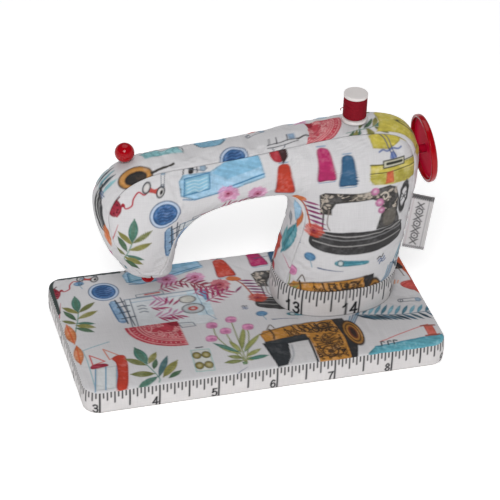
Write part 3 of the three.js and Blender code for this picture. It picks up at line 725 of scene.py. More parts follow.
def aqua_leaves(m):
    m.leaf((1, 9), (-2, -9), 7.0, "4c909c", wet=1.1)
    m.leaf((2, 7), (3.6, -4), 3.6, "64a4ac", wet=1.0)
    m.stroke(".6,8 -1.4,-8", 0.5, "245d68")
    m.stroke("2,6 -.6,-3", 0.4, "245d68")


def small_bloom(m):
    m.oval(0, 0, 2.6, 1.9, "5a86aa", wet=1.2)
    m.stroke("0,-1.4 .8,-4.6", 0.4, "6d93a8")


red_needle = partial(needle, colour=RED)
magenta_needle = partial(needle, colour=MAGENTA)
magenta_cone = partial(cone, colour="a8265e", cap=None)
blue_cone = partial(cone, colour="305a7c", cap=None)


def sky_leaf(m):
    m.leaf((-5, 0), (6, -2), 4.4, SKY)


def grey_leaf(m):
    m.leaf((-4, 0), (5, 0.5), 3.4, "8a8f96")


def rim_stripes(m):
    """Dark double stripes along the back left rim."""
    m.stroke("-76,40.4 -60,40.4 -47,39.8 / -76.6,39.8 -78.3,35 -78.6,24 -78.8,16", 2.2, "36403e",
             wet=0.6)


# Motifs as (motif, reach, x, y, turn, size). Turn is 0 and size is 1 where they are left out.
# The cloth's design is measured from the middle of the big blue button.
DESIGN = [
    (pale_machine, 30, 23, -18), (curl_and_bobbin, 20, -4.6, 11.4), (big_button, 10, 0, 0),
    (sprig, 18, -14, -14), (berry, 7, -21.2, 4.4), (blue_machine, 42, 6.6, 11),
    (flower, 8, 27, 5.6), (flower, 8, 39.6, 4.2, 0, 0.92), (coral_bloom, 8, 51, -6, 0, 0.95),
    (bright_twig, 16, 24, -4, 14, 0.95), (twig, 16, 33, 0.6, -26),
    (dark_twig, 18, 39, -2, -42, 1.2), (bright_twig, 16, 38, -10, 8, 0.9),
    (bright_twig, 18, 42, -17, 26, 1.1), (safety_pin, 8, -0.6, 16, 85, 0.62),
    (safety_pin, 8, 13.4, 19.6, -12), (cone, 15, 51, 9.6, 2, 1.05),
    (magenta_cone, 12, 68.4, 14.8, 4), (blue_cone, 12, 78, 11.6, 2), (case, 18, 99, 14),
    (old_machine, 30, 84, -8.6), (pill, 9, 81.4, -33.2, -6), (needle, 8, 72, -36, -3),
    (blue_strokes, 10, 97, -44, -8), (scribble, 6, 95.6, -34.6, 25, 0.9),
    (small_bloom, 6, 63, -30.6), (brass_machine, 30, 77, -54.4), (lace_fan, 28, 26, -28),
    (pattern_box, 20, -9.6, -51), (low_sprig, 24, 9, -62), (tulips, 24, 47.6, -48, 0, 0.95),
    (button_card, 10, 30, -56.6, -4), (frond, 24, 120, -42), (aqua_machine, 22, 117, -64),
    (safety_pin, 8, 129.6, -34.4, -4, 0.95), (hot_seat, 20, 134, -18),
    (orange_leaf, 10, -20.4, -26), (orange_leaf, 10, -20, -41, -6, 0.9),
    (red_needle, 8, -21, -8, 80, 0.9), (blue_cone, 12, 98, 36), (needle, 8, 106, -36, 50, 0.8),
    (flower, 8, 118, 2, 0, 0.9), (sprig, 18, 128, 14, -20, 0.9),
    (curl_and_bobbin, 18, 124, -10, 0, 0.9), (small_bloom, 6, 112, -28),
    (button_card, 10, 146, -46), (scribble, 6, 57, -25, 0, 0.6), (needle, 8, 44.6, -66, 30, 0.5),
    (warm_spray, 22, 64, -12), (warm_bloom, 8, 64.6, -18.6),
]
BODY_SHIFTS = {brass_machine: (-4.5, -0.4)}
BASE_SHIFTS = {cone: (4.3, -3), magenta_cone: (3.3, -3), blue_cone: (3.3, -3),
               blue_machine: (4.6, -3.2),
               flower: (2, -2.4)}
BASE_EXTRAS = [
    (rim_stripes, 90, 0, 0), (small_bloom, 6, -66, 34, 0, 0.9), (safety_pin, 8, -64.6, 36, 70, 0.6),
    (cone, 14, 70, 26, -8, 1.0), (flower, 8, 40, 36, 0, 0.9), (needle, 8, 20, 37, 10),
]
# On the gussets x is the distance along the spine from the pillar's foot.
OUTER_GUSSET = [
    (stripes, 12, -203, -1, 8, 0.9), (ring_and_handle, 26, -192.5, -8.6, 4, 0.9),
    (teal_slab, 13, -178, 1.4, -2), (sky_cup, 12, -156.5, 3.6, -4, 0.9),
    (big_button, 10, -148.6, -9.4, 0, 0.95), (line_machine, 20, -127, -7, 3, 0.82),
    (lace_fan, 28, -114.6, 4.6, 84, 0.86), (sprig, 18, -88, -6.4, -62, 0.85),
    (low_sprig, 20, -80, 6, 60, 0.6), (dark_swoosh, 14, -217, -5.9, -80, 1.25),
    (orange_leaf, 10, -227, -9.6, 82, 0.9), (scribble, 6, -209, -5.6, 70, 0.7),
    (case_lid, 22, -73, 0.4), (safety_pin, 8, -136, 4.6, 10, 0.8), (flower, 8, -115, 6.8, 0, 0.5),
    (sprig, 18, -40, 1, 100, 0.8), (cone, 12, -22, 3, 90, 0.9), (flower, 8, -12, -3, 0, 0.8),
    (small_bloom, 6, -52, -4, 90), (tulips, 22, -238, 3, 90, 0.6), (needle, 8, -30, -6, 70, 0.9),
    (flower, 8, -212, 6, 0, 0.7), (pill, 9, -246, -3, 70, 0.8), (blue_cone, 12, -232, 3, 80, 0.8),
    (button_card, 10, -58, 5, 90, 0.7),
]
INNER_GUSSET = [
    (aqua_leaves, 12, 21, -5, 84, 0.95), (orange_leaf, 8, 33, -9.4, 78, 0.7), (sky_leaf, 9, 36, -7),
    (magenta_needle, 8, 10, -8.6, 60, 0.8), (grey_leaf, 8, 30, -3.5, 0, 0.8),
    (sprig, 18, 52, 1, -80, 0.7), (flower, 8, 66, 2, 0, 0.8),
    (parallel_lines, 10, 93, -6.4, 84, 0.95), (sprig, 18, 84, 4, 90, 0.6), (small_bloom, 6, 44, 4),
    (safety_pin, 8, 74, -4, 20, 0.9), (cone, 12, 12, 3, 90, 0.9), (tulips, 20, 104, 2, -90, 0.5),
    (twig, 14, 14, 6, 20, 0.8),
]

# Each digit's lines, in a box one wide and one high.
DIGITS = {
    "0": ".5,1 .14,.75 .14,.25 .5,0 .86,.25 .86,.75 .5,1",
    "1": ".2,.74 .44,.86 .58,1 / .58,1 .58,0",
    "2": ".14,.74 .3,.97 .62,.98 .84,.74 .6,.4 .14,.02 / .12,.02 .88,.02",
    "3": ".14,.84 .4,1 .76,.92 .76,.62 .42,.54 / .42,.54 .84,.42 .8,.1 .44,0 .12,.16",
    "4": ".7,0 .7,1 / .7,1 .08,.28 / .08,.28 .94,.28",
    "5": ".82,.98 .26,.98 / .26,.98 .18,.52 / .18,.52 .5,.64 .84,.48 .82,.14 .46,0 .12,.14",
    "6": ".78,.9 .5,1 .2,.72 .14,.3 .46,0 .84,.2 .76,.54 .44,.6 .16,.38",
    "7": ".12,.98 .88,.98 / .88,.98 .56,.5 .4,0",
    "8": ".5,.54 .2,.74 .5,1 .8,.74 .5,.54 .14,.26 .5,0 .86,.26 .5,.54",
    "9": ".22,.1 .5,0 .8,.28 .86,.7 .54,1 .16,.8 .24,.46 .56,.4 .84,.62",
}
TICKS = {0: 1.0, 8: 0.74, 4: 0.52, 12: 0.52, 2: 0.38, 6: 0.38, 10: 0.38, 14: 0.38}
SHORT_TICK = 0.26
DIVISIONS = 16  # ticks to the inch
TAPE_LENGTH = 60  # the tape's last inch, where its numbers start again
# The first colour is the tape's ink. It also draws the painted shadow line along the tape's bottom edge.
TAPE_INK_AND_SHADOW, TAPE_WHITE = "1b1c20", "cfcccc"


def print_tape(cloth, inch_zero, height, digit):
    """An inch scale along u with its zero at inch_zero, ticks hanging from the top edge, and a painted
    shadow line at the foot.
    """
    ends = cloth.u.min(), cloth.u.max()
    low, high = (math.floor((end - inch_zero) / INCH * DIVISIONS) for end in ends)
    wide = digit * 0.62
    for k in range(low, high + 1):
        patch = Patch(cloth, inch_zero + k * INCH / DIVISIONS, height / 2, height)
        ink = dict(colour=TAPE_INK_AND_SHADOW, rim=0, wet=0.2)
        long = height * TICKS.get(k % DIVISIONS, SHORT_TICK)
        patch.rule([(0, height / 2 + 2), (0, height / 2 - long)], 0.68 if k % 8 else 0.78, **ink)
        if k % DIVISIONS:
            continue
        inch = k // DIVISIONS
        for i, letter in enumerate(reversed(str(inch if k > 0 else inch + TAPE_LENGTH))):
            corner = -1.25 * wide - i * digit * 0.74, -height / 2 + 0.9
            for line in as_lines(DIGITS[letter]):
                patch.stroke(line * (wide, digit) + corner, digit * 0.2, **ink)
    # Painted shadow: a dark line along the bottom edge stands in for the contact shadow under the band.
    foot = 0.6 * np.exp(-((cloth.v - 0.55) / 0.22) ** 2)[:, None]
    cloth.rgb = cloth.rgb * (1 - foot) + linear(TAPE_INK_AND_SHADOW) * foot


# ------------------------------------------------------------------ meshes
def make_mesh(name, points, polygons, body, uv=None, rgb=None):
    """A mesh, facing out, from points in millimetres and arrays of polygons' corner numbers."""
    points = np.asarray(points, float)
    sizes = np.concatenate([np.full(len(p), p.shape[1]) for p in polygons])
    starts = np.concatenate([[0], np.cumsum(sizes)[:-1]])
    loops = np.concatenate([np.ravel(p) for p in polygons])
    first, second, last = (points[loops[starts + k]] for k in (0, 1, sizes - 1))
    if np.einsum("ij,ij->i", first, np.cross(second - first, last - first)).sum() < 0:
        loops = np.concatenate([np.ravel(p[:, ::-1]) for p in polygons])

    def fill(items, key, values, kind=np.float32):
        items.foreach_set(key, np.asarray(values).ravel().astype(kind))

    mesh = bpy.data.meshes.new(name)
    mesh.vertices.add(len(points))
    fill(mesh.vertices, "co", points * MM)
    mesh.loops.add(len(loops))
    fill(mesh.loops, "vertex_index", loops, np.int32)
    mesh.polygons.add(len(sizes))
    fill(mesh.polygons, "loop_start", starts, np.int32)
    fill(mesh.polygons, "use_smooth", np.ones(len(sizes)), bool)
    mesh.update(calc_edges=True)
    if uv is not None:
        fill(mesh.uv_layers.new(name="cloth_mm").data, "uv", np.asarray(uv)[loops])
    if rgb is not None:
        colour = mesh.color_attributes.new("print", "FLOAT_COLOR", "POINT")
        fill(colour.data, "color", np.column_stack([rgb, np.ones(len(rgb))]))
    mesh.validate()
    obj = bpy.data.objects.new(name, mesh)
    bpy.context.scene.collection.objects.link(obj)
    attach(obj, body)
    return obj


def dress(obj, *materials):
    obj.data.materials.clear()
    for m in materials:
        obj.data.materials.append(m)
    return obj


def grid_quads(rows, columns, first=0, wrap=False):
    at = first + np.arange(rows * columns).reshape(rows, columns)
    if wrap:
        at = np.vstack([at, at[:1]])
    return np.stack([at[:-1, :-1], at[1:, :-1], at[1:, 1:], at[:-1, 1:]], -1).reshape(-1, 4)


def tube_polygons(sides, count):
    """Faces of a closed tube whose points run lengthwise, one side after another."""
    ends = np.arange(sides) * count
    return [grid_quads(sides, count, 0, True), ends[None, ::-1], ends[None] + count - 1]


def skin_polygons(rows, columns, few, wrap):
    """Faces of a closed skin: a fine outer grid, an inner one with few columns, and its edges."""
    front = np.arange(rows * columns).reshape(rows, columns)
    back = rows * columns + np.arange(rows * few).reshape(rows, few)
    if wrap:
        front, back = np.vstack([front, front[:1]]), np.vstack([back, back[:1]])
    polygons = [
        grid_quads(rows, columns, 0, wrap), grid_quads(rows, few, rows * columns, wrap)[:, ::-1],
        np.stack([back[:-1, 0], back[1:, 0], front[1:, 0], front[:-1, 0]], -1),
        np.stack([front[:-1, -1], front[1:, -1], back[1:, -1], back[:-1, -1]], -1),
    ]
    if not wrap:
        polygons.append(np.concatenate([front[0], back[0][::-1]])[None])
        polygons.append(np.concatenate([front[-1], back[-1][::-1]])[None, ::-1])
    return polygons


def cloth_piece(name, node, outer, inner, cloth, wrap=False):
    """A closed cloth piece in place of a CAD node: a printed outer grid and a coarse inner one."""
    (rows, columns), few = outer.shape[:2], inner.shape[1]
    pick = np.linspace(0, columns - 1, few).round().astype(int)

    def both(values):
        width = values.shape[-1]
        return np.vstack([values, values.reshape(rows, columns, width)[:, pick].reshape(-1, width)])

    points = np.vstack([outer.reshape(-1, 3), inner.reshape(-1, 3)])
    uv = np.column_stack([cloth.u, cloth.v])
    polygons = skin_polygons(rows, columns, few, wrap)
    obj = make_mesh(name, points, polygons, "cushion", both(uv), both(cloth.rgb))
    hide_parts(node)
    return dress(obj, COTTON)


def turned(name, profile, sides, place, body, axis=(0, 0, 1)):
    """A turned solid about axis from [radius, height] points that start and end on the axis."""
    profile = np.array(profile, float)
    angle = np.linspace(0, TURN, sides, endpoint=False)
    ring = profile[1:-1]
    points = np.stack([np.outer(np.cos(angle), ring[:, 0]), np.outer(np.sin(angle), ring[:, 0]),
                       np.broadcast_to(ring[:, 1], (sides, len(ring)))], -1)
    points = np.vstack([points.reshape(-1, 3), (0, 0, profile[0, 1]), (0, 0, profile[-1, 1])])
    here = np.arange(sides) * len(ring)
    after, low, top = np.roll(here, -1), sides * len(ring), len(ring) - 1
    polygons = [
        grid_quads(sides, len(ring), 0, True)[:, ::-1],
        np.stack([here, after, np.full(sides, low)], -1),
        np.stack([after + top, here + top, np.full(sides, low + 1)], -1),
    ]
    turn = np.array(Vector((0, 0, 1)).rotation_difference(Vector(axis)).to_matrix())
    return make_mesh(name, points @ turn.T + np.array(place), polygons, body)


def rounded(profile, radius):
    """The same profile with rounded corners, and with points near the ends of each long stretch."""
    p = np.array(profile, float)
    tiny, steps, beside, long_stretch = 1e-6, 4, 0.12, 0.8
    out = [p[0]]
    for i in range(1, len(p) - 1):
        back, ahead = p[i - 1] - p[i], p[i + 1] - p[i]
        reach = min(radius, np.linalg.norm(back) * 0.45, np.linalg.norm(ahead) * 0.45)
        a = p[i] + back / max(np.linalg.norm(back), tiny) * reach
        b = p[i] + ahead / max(np.linalg.norm(ahead), tiny) * reach
        for f in np.linspace(0, 1, steps + 1):
            out.append((1 - f) ** 2 * a + 2 * f * (1 - f) * p[i] + f * f * b)
    out.append(p[-1])
    held = [out[0]]
    for a, b in zip(out, out[1:]):
        long = np.linalg.norm(b - a)
        if long > long_stretch:
            held += [a + (b - a) * f for f in (beside / long, 0.5, 1 - beside / long)]
        held.append(b)
    return np.array(held)


# ------------------------------------------------------------------ cloth simulation
# The cloth solver works best on things about a metre across, so 1 mm is 10 mm there.
SIM_SCALE = 0.01
FABRIC = dict(quality=6, mass=0.2, tension_stiffness=60, compression_stiffness=60,
              shear_stiffness=25,
              bending_stiffness=0.6, vertex_group_mass="held", pin_stiffness=5, use_pressure=True)


def inflate(grid, pinned, pressure, spare, frames, wrap):
    """Blows up a grid of cloth that is held at its pinned points, and returns each point's move."""
    across, held = (grid.transpose(1, 0, 2), pinned.T) if wrap else (grid, pinned)
    mesh = bpy.data.meshes.new("blown")
    quads = grid_quads(across.shape[0], across.shape[1], 0, wrap)
    mesh.from_pydata((across.reshape(-1, 3) * SIM_SCALE).tolist(), [], quads.tolist())
    obj = bpy.data.objects.new("blown", mesh)
    scene = bpy.context.scene
    scene.collection.objects.link(obj)
    obj.vertex_groups.new(name="held").add(np.flatnonzero(held.ravel()).tolist(), 1.0, "REPLACE")
    cloth = obj.modifiers.new("Cloth", "CLOTH")
    for key, value in FABRIC.items():
        setattr(cloth.settings, key, value)
    cloth.settings.uniform_pressure_force, cloth.settings.shrink_min = pressure, -spare
    cloth.settings.effector_weights.gravity = 0
    cloth.collision_settings.use_collision = False
    cloth.point_cache.frame_start, cloth.point_cache.frame_end = 1, frames
    for frame_number in range(1, frames + 1):
        scene.frame_set(frame_number)
    done = obj.evaluated_get(bpy.context.evaluated_depsgraph_get()).to_mesh()
    blown = np.empty(len(done.vertices) * 3)
    done.vertices.foreach_get("co", blown)
    bpy.data.objects.remove(obj)
    bpy.data.meshes.remove(mesh)
    scene.frame_set(1)
    moved = blown.reshape(across.shape) / SIM_SCALE - across
    return moved.transpose(1, 0, 2) if wrap else moved


def sample(field, row, column, wrap):
    """Catmull-Rom values of a coarse field at fractional rows and columns."""
    rows, columns = field.shape[:2]
    i, j = np.floor(row).astype(int), np.floor(column).astype(int)
    f, g = (row - i)[..., None], (column - j)[..., None]

    def pick(a, b):
        return field[np.clip(a, 0, rows - 1), b % columns if wrap else np.clip(b, 0, columns - 1)]

    near = range(-1, 3)
    return blended(*(blended(*(pick(i + m, j + n) for n in near), g) for m in near), f)


BODY_ROWS, BODY_COLUMNS = 132, 64
BODY_FROM, BODY_TO = 0.9, LAST_RIB + 0.9
MOST_BULGE = 1.1


def body_bulge():
    """How far the stuffing pushes the body's cloth out between the seams, which are held."""
    t = np.linspace(BODY_FROM, BODY_TO, BODY_ROWS)[:, None]
    angle = (np.arange(BODY_COLUMNS) * 2 * np.pi / BODY_COLUMNS)[None]
    grid = body_point(t, angle, 0.3)
    seam, held = seam_angle(t), np.zeros(grid.shape[:2], bool)
    for line in (seam, np.pi - seam, np.pi + seam, TURN - seam):
        held |= np.abs(angle - line) <= np.pi / BODY_COLUMNS
    held[:2] = held[-3:] = True
    moved = inflate(grid, held, 3.0, 0.012, 24, True)
    far = np.linalg.norm(moved, axis=-1, keepdims=True)
    return moved * np.minimum(far, MOST_BULGE) / np.maximum(far, 1e-6)


# ------------------------------------------------------------------ materials
def material(name, build):
    """A material from build, which adds nodes and returns what goes into the shader's sockets."""
    m = bpy.data.materials.new(name)
    m.use_nodes = True
    tree = m.node_tree

    def fill(n, values):
        for key, value in values.items():
            socket = n.inputs[key.replace("_", " ") if isinstance(key, str) else key]
            value = value.outputs[0] if isinstance(value, bpy.types.Node) else value
            if isinstance(value, bpy.types.NodeSocket):
                tree.links.new(value, socket)
            else:
                socket.default_value = value

    def node(kind, values={}, **settings):
        n = tree.nodes.new("ShaderNode" + kind)
        for key, value in settings.items():
            setattr(n, key, value)
        fill(n, values)
        return n

    fill(tree.nodes["Principled BSDF"], build(node))
    return m


def around_one(node, value, low, high, spread):
    """A factor that runs from 1 - spread to 1 + spread while value runs from low to high."""
    ends = {"From Min": low, "From Max": high, "To Min": 1 - spread, "To Max": 1 + spread}
    return node("MapRange", {"Value": value, **ends})


def woven(pitch, depth, **look):
    """Printed plain weave on the cloth coordinates: thread bumps, and slubs along both threads."""
    def build(node):
        uv = node("UVMap", uv_map="cloth_mm")
        parts = node("SeparateXYZ", {0: uv}).outputs
        waves = []
        for side in ("X", "Y"):
            turn = node("Math", {0: parts[side], 1: TURN / pitch}, operation="MULTIPLY")
            waves.append(node("Math", {0: turn}, operation="SINE"))
        threads = node("Math", dict(enumerate(waves)), operation="MULTIPLY")
        slubs = []
        for stretch in ((2.6, 0.12, 1), (0.12, 2.6, 1)):
            place = node("Mapping", {"Vector": uv, "Scale": stretch})
            slubs.append(node("TexNoise",
                              {"Vector": place, "Scale": 1.0, "Detail": 2.0}).outputs["Fac"])
        slub = node("Math", dict(enumerate(slubs)), operation="ADD")
        height = node("Math", {0: slub, 1: 0.8, 2: threads}, operation="MULTIPLY_ADD")
        shade = around_one(node, slub, 0.7, 1.3, 0.05)
        tint = node("Math", {0: threads, 1: 0.035, 2: shade}, operation="MULTIPLY_ADD")
        dye = node("Attribute", attribute_name="print", attribute_type="GEOMETRY")
        bump = node("Bump", {"Strength": 0.55, "Distance": depth * MM, "Height": height})
        dyed = node("VectorMath", {0: dye, 1: tint}, operation="MULTIPLY")
        return {"Base Color": dyed, "Normal": bump, **look}
    return build


def plain(colour, rough, spread, scale, bump=0.0, **look):
    """A colour that varies a little from place to place, with a fine grain."""
    def build(node):
        where = node("TexCoord").outputs["Object"]
        grain = node("TexNoise", {"Vector": where, "Scale": scale, "Detail": 4.0}).outputs["Fac"]
        factor = around_one(node, grain, 0.3, 0.7, spread)
        tone = node("VectorMath", {0: tuple(linear(colour)), 1: factor}, operation="MULTIPLY")
        made = {"Base Color": tone, "Roughness": rough, **look}
        if bump:
            made["Normal"] = node("Bump", {"Strength": 0.4, "Distance": bump * MM, "Height": grain})
        return made
    return build


COTTON = material("printed cotton", woven(
    0.62, 0.045, Roughness=0.85, Sheen_Weight=0.05, Sheen_Roughness=0.5, Specular_IOR_Level=0.3))
LABEL_CLOTH = material("woven label", woven(0.4, 0.04, Roughness=0.6, Sheen_Weight=0.1))
RED_GLOSS = material("red gloss", plain("9a0210", 0.1, 0.04, 90, Specular_IOR_Level=0.24))
# Painted light and shade on the handwheel: the hollow's red is a brighter copy of the gloss red, and the
# shank's red is a darker copy. The hollow's matte, low-shine finish is its own.
RED_SHADED = material("red shank painted shade", plain("9a0626", 0.6, 0.05, 90, Specular_IOR_Level=0.04))
RED_MATT_PAINTED_LIGHT = material("red moulded painted light", plain("da0a3c", 0.55, 0.05, 90, Specular_IOR_Level=0.04))
WHITE = material("white plastic", plain("d6d1cf", 0.38, 0.02, 300))
THREAD = material("red thread", plain("7c0a1c", 0.7, 0.12, 2500, 0.05, Specular_IOR_Level=0.15))
STEEL = material("steel", plain("c9c9cd", 0.25, 0.04, 800, Metallic=1.0))
BOARD = material("board", plain("a98d68", 0.9, 0.12, 500, 0.05))
FILLING = material("filling", plain("efece4", 0.95, 0.05, 300, 0.2))

# ------------------------------------------------------------------ body
TUCK = 1.0  # width over which a piece rolls into its seam
LINING = 1.5  # how deep the inner side of the body's cloth lies
BODY_START = 0.985
BULGE = body_bulge()


def on_body(t, angle, inset):
    """A point of the stuffed body, with the bulge between its seams."""
    row = (t - BODY_FROM) / (BODY_TO - BODY_FROM) * (BODY_ROWS - 1)
    column = angle / TURN * BODY_COLUMNS
    return body_point(t, angle, inset) + sample(BULGE, *np.broadcast_arrays(row, column), True)


def arc_lengths(points):
    """Distance along each row from its middle point."""
    steps = np.linalg.norm(np.diff(points, axis=1), axis=-1)
    along = np.concatenate([np.zeros((len(points), 1)), np.cumsum(steps, 1)], 1)
    return along - along[:, along.shape[1] // 2][:, None]


def rise_along(line):
    return run_of(np.linalg.norm(np.diff(line, axis=0), axis=1))[:, None]


def seam_roll(across, rise, t, seed):
    """How deep a piece's cloth lies: it rolls in at its edges, and puckers beside them."""
    edge = np.minimum(np.minimum(across - across[:, :1], across[:, -1:] - across), rise)
    along = (t * 11 + seed) * np.ones_like(edge)
    pucker = 0.16 * (noise(along, edge * 0.25, 1.3) - 0.5) * np.exp(-edge / 3.2) * (edge > 0.2)
    return rolled_in(edge, TUCK, 0.55, 0.35, 0.995, 0.999) + pucker


def as_side_view(t, smooth, across, side):
    """A panel's rise along its middle, and its flat coordinates, which are those of a side view."""
    middle = smooth[:, smooth.shape[1] // 2]
    span = section_at(t[:, 0])[1]
    span = span / np.linalg.norm(span, axis=1)[:, None] * side
    uv = (middle[:, [0, 2]] * (side, 1))[:, None] + (span * (side, 1))[:, None] * across[..., None]
    return rise_along(middle), uv


def along_spine(t, smooth, across, middle, side):
    """A gusset's rise along its unstuffed middle, and its flat coordinates along and across it."""
    rise = rise_along(body_point(t, np.full_like(t, middle))[:, 0])
    return rise, np.stack(np.broadcast_arrays(side * rise, across), -1)


def body_piece(name, low, high, end, grid, few, seed, flatten, *printed):
    """A cloth piece between two lines, each of them an angle plus or minus the seam's angle."""
    t = np.linspace(BODY_START, end, grid[0])[:, None]
    low, high = (angle + sign * seam_angle(t) for angle, sign in (low, high))
    angle = (low + (high - low) * spread(grid[1])[None]) % TURN
    smooth = on_body(t, angle, 0.0)
    across = arc_lengths(smooth)
    rise, uv = flatten(t, smooth, across)
    outer = on_body(t, angle, seam_roll(across, rise, t, seed))
    inner = body_point(t, low + (high - low) * np.linspace(0, 1, few)[None], LINING)
    cloth = Cloth(uv[..., 0], uv[..., 1])
    cloth.print(*printed)
    obj = cloth_piece(name, name.replace("cloth", "body"), outer, inner, cloth)


PANEL, SIDE_END, GUSSET_END = (620, 150), panel_end(), LAST_RIB + 0.995
body_piece("cloth_front_panel", (np.pi, 1), (TURN, -1), SIDE_END, PANEL, 6, 3.0,
           partial(as_side_view, side=1), DESIGN, -37.6, 70.9, BODY_SHIFTS)
body_piece("cloth_back_panel", (0, 1), (np.pi, -1), SIDE_END, PANEL, 6, 47.0,
           partial(as_side_view, side=-1), DESIGN, -58.0, 84.0, BODY_SHIFTS)
body_piece("cloth_outer_gusset", (0, -1), (0, 1), GUSSET_END, (700, 56), 5, 81.0,
           partial(along_spine, middle=0.0, side=-1), OUTER_GUSSET)
body_piece("cloth_inner_gusset", (np.pi, 1), (np.pi, -1), GUSSET_END, (420, 56), 5, 23.0,
           partial(along_spine, middle=np.pi, side=1), INNER_GUSSET)

# ------------------------------------------------------------------ base
FOOT = dict(x=41.5, y=BODY_Y, a=27.6, b=22.2)
SEAM_Z = 11.1  # where the top cloth meets the tape band
HALF_LENGTH, HALF_DEPTH = BASE["length"] / 2, BASE["depth"] / 2
HELD = 0.5  # how far in from the edge the top cloth is held
CROWN = 1.3  # the most that the padding lifts the top cloth
EDGE_ROLL = 1.3


def half_length(y, inset=0.0):
    """Half the base's length at depth y, with its corners rounded."""
    corner, half = BASE["corner"] - inset, HALF_DEPTH - inset
    over = np.clip(np.abs(y) - (half - corner), 0, corner)
    return HALF_LENGTH - inset - corner + np.sqrt(np.maximum(corner**2 - over**2, 0))


def base_crown():
    """How far the padding lifts the base's top, which is held at its edge and under the pillar."""
    rows, columns = 54, 100
    y = np.linspace(-1, 1, rows)[:, None] * (HALF_DEPTH - HELD)
    x = (half_length(y) - HELD) * np.linspace(-1, 1, columns)[None]
    y = y + 0 * x
    held = np.hypot((x - FOOT["x"]) / FOOT["a"], (y - FOOT["y"]) / FOOT["b"]) < 1
    held[0] = held[-1] = held[:, 0] = held[:, -1] = True
    rise = inflate(np.stack([x, y, np.zeros(x.shape)], -1), held, 1.2, 0.004, 22, False)[..., 2:]
    return CROWN * np.tanh(np.abs(rise) / CROWN)


def base_top():
    rows, columns, corner = 270, 470, BASE["corner"]
    even = np.linspace(-1, 1, rows)
    y = (HALF_DEPTH * np.sin((even * 0.45) * np.pi) / math.sin(0.45 * math.pi))[:, None]
    y = 0.55 * y + 0.45 * np.linspace(-HALF_DEPTH, HALF_DEPTH, rows)[:, None]
    x = half_length(y) * (2 * spread(columns)[None] - 1)
    y = y + 0 * x
    over_x, over_y = np.abs(x) - HALF_LENGTH + corner, np.abs(y) - HALF_DEPTH + corner
    in_corner = (np.abs(x) > HALF_LENGTH - corner) & (np.abs(y) > HALF_DEPTH - corner)
    edge = np.minimum(HALF_DEPTH - np.abs(y), half_length(y) - np.abs(x))
    edge = np.where(in_corner, corner - np.hypot(np.maximum(over_x, 0), np.maximum(over_y, 0)),
                    edge)
    edge = np.maximum(edge, 0)
    crown = base_crown()
    row = (y / (HALF_DEPTH - HELD) + 1) / 2 * (crown.shape[0] - 1)
    column = (x / np.maximum(half_length(y) - HELD, 1) + 1) / 2 * (crown.shape[1] - 1)
    row, column = (np.clip(at, 0, count - 1) for at, count in zip((row, column), crown.shape))
    lift = sample(crown, row, column, False)[..., 0]
    along = np.where(np.abs(y) > HALF_DEPTH - 4, x, y + 300)
    pucker = 0.2 * (noise(along, edge * 0.2, 1.7) - 0.5) * np.exp(-edge / 3.0) * (edge > 0.3)
    wave = 0.16 * (mottle(x, y, 24) - 0.5) * np.clip(edge / 6, 0, 1)
    z = BASE["height"] + lift - rolled_in(edge, EDGE_ROLL, 0.85, 0.45) - pucker + wave
    pull = 1 - 0.0035 * (1 - edge / EDGE_ROLL > 0.995)
    few, y0 = np.linspace(-1, 1, 4)[None], y[:, :1]
    inner = np.broadcast_arrays((half_length(y0, 1.0) - 0.4) * few, y0 * 0.98, SEAM_Z - 0.6)
    cloth = Cloth(x, y)
    cloth.print(DESIGN, -56.8, 25.4, BASE_SHIFTS)
    cloth.print(BASE_EXTRAS)
    outer = np.stack([x * pull, y * pull, z], -1)
    obj = cloth_piece("cloth_base_top", "base_top_cover", outer, np.stack(inner, -1), cloth)


def outline_at(s, inset):
    """A point of the base's outline, s millimetres to the right from the middle of the front."""
    corner = BASE["corner"]
    long_x, long_y = BASE["length"] - 2 * corner, BASE["depth"] - 2 * corner
    quarter = corner * np.pi / 2
    total = 2 * (long_x + long_y) + 4 * quarter
    s, radius = np.broadcast_arrays((np.asarray(s, float) + long_x / 2) % total, corner - inset)
    x, y, start = np.zeros(s.shape), np.zeros(s.shape), 0.0
    sides = (long_x, 1, -1), (long_y, 1, 1), (long_x, -1, 1), (long_y, -1, -1)
    for k, (long, cx, cy) in enumerate(sides):
        heading, cx, cy, f = k * np.pi / 2, cx * long_x / 2, cy * long_y / 2, s - start
        on = (f >= 0) & (f <= long)
        x = np.where(on, cx - math.cos(heading) * (long - f) + math.sin(heading) * radius, x)
        y = np.where(on, cy - math.sin(heading) * (long - f) - math.cos(heading) * radius, y)
        turn = heading - np.pi / 2 + (f - long) / corner
        bend = (f > long) & (f <= long + quarter + 1e-9)
        x = np.where(bend, cx + radius * np.cos(turn), x)
        y = np.where(bend, cy + radius * np.sin(turn), y)
        start += long + quarter
    return x, y, total


def tape_band(name, node, outer, inner, s, v, zero, digit, size):
    """A printed tape round a stuffed part. s runs along it and v up it. Its scale starts at zero."""
    cloth = Cloth(*np.broadcast_arrays(s, v), TAPE_WHITE)
    print_tape(cloth, zero, size[1], digit)
    obj = cloth_piece(name, node, outer, inner, cloth, True)


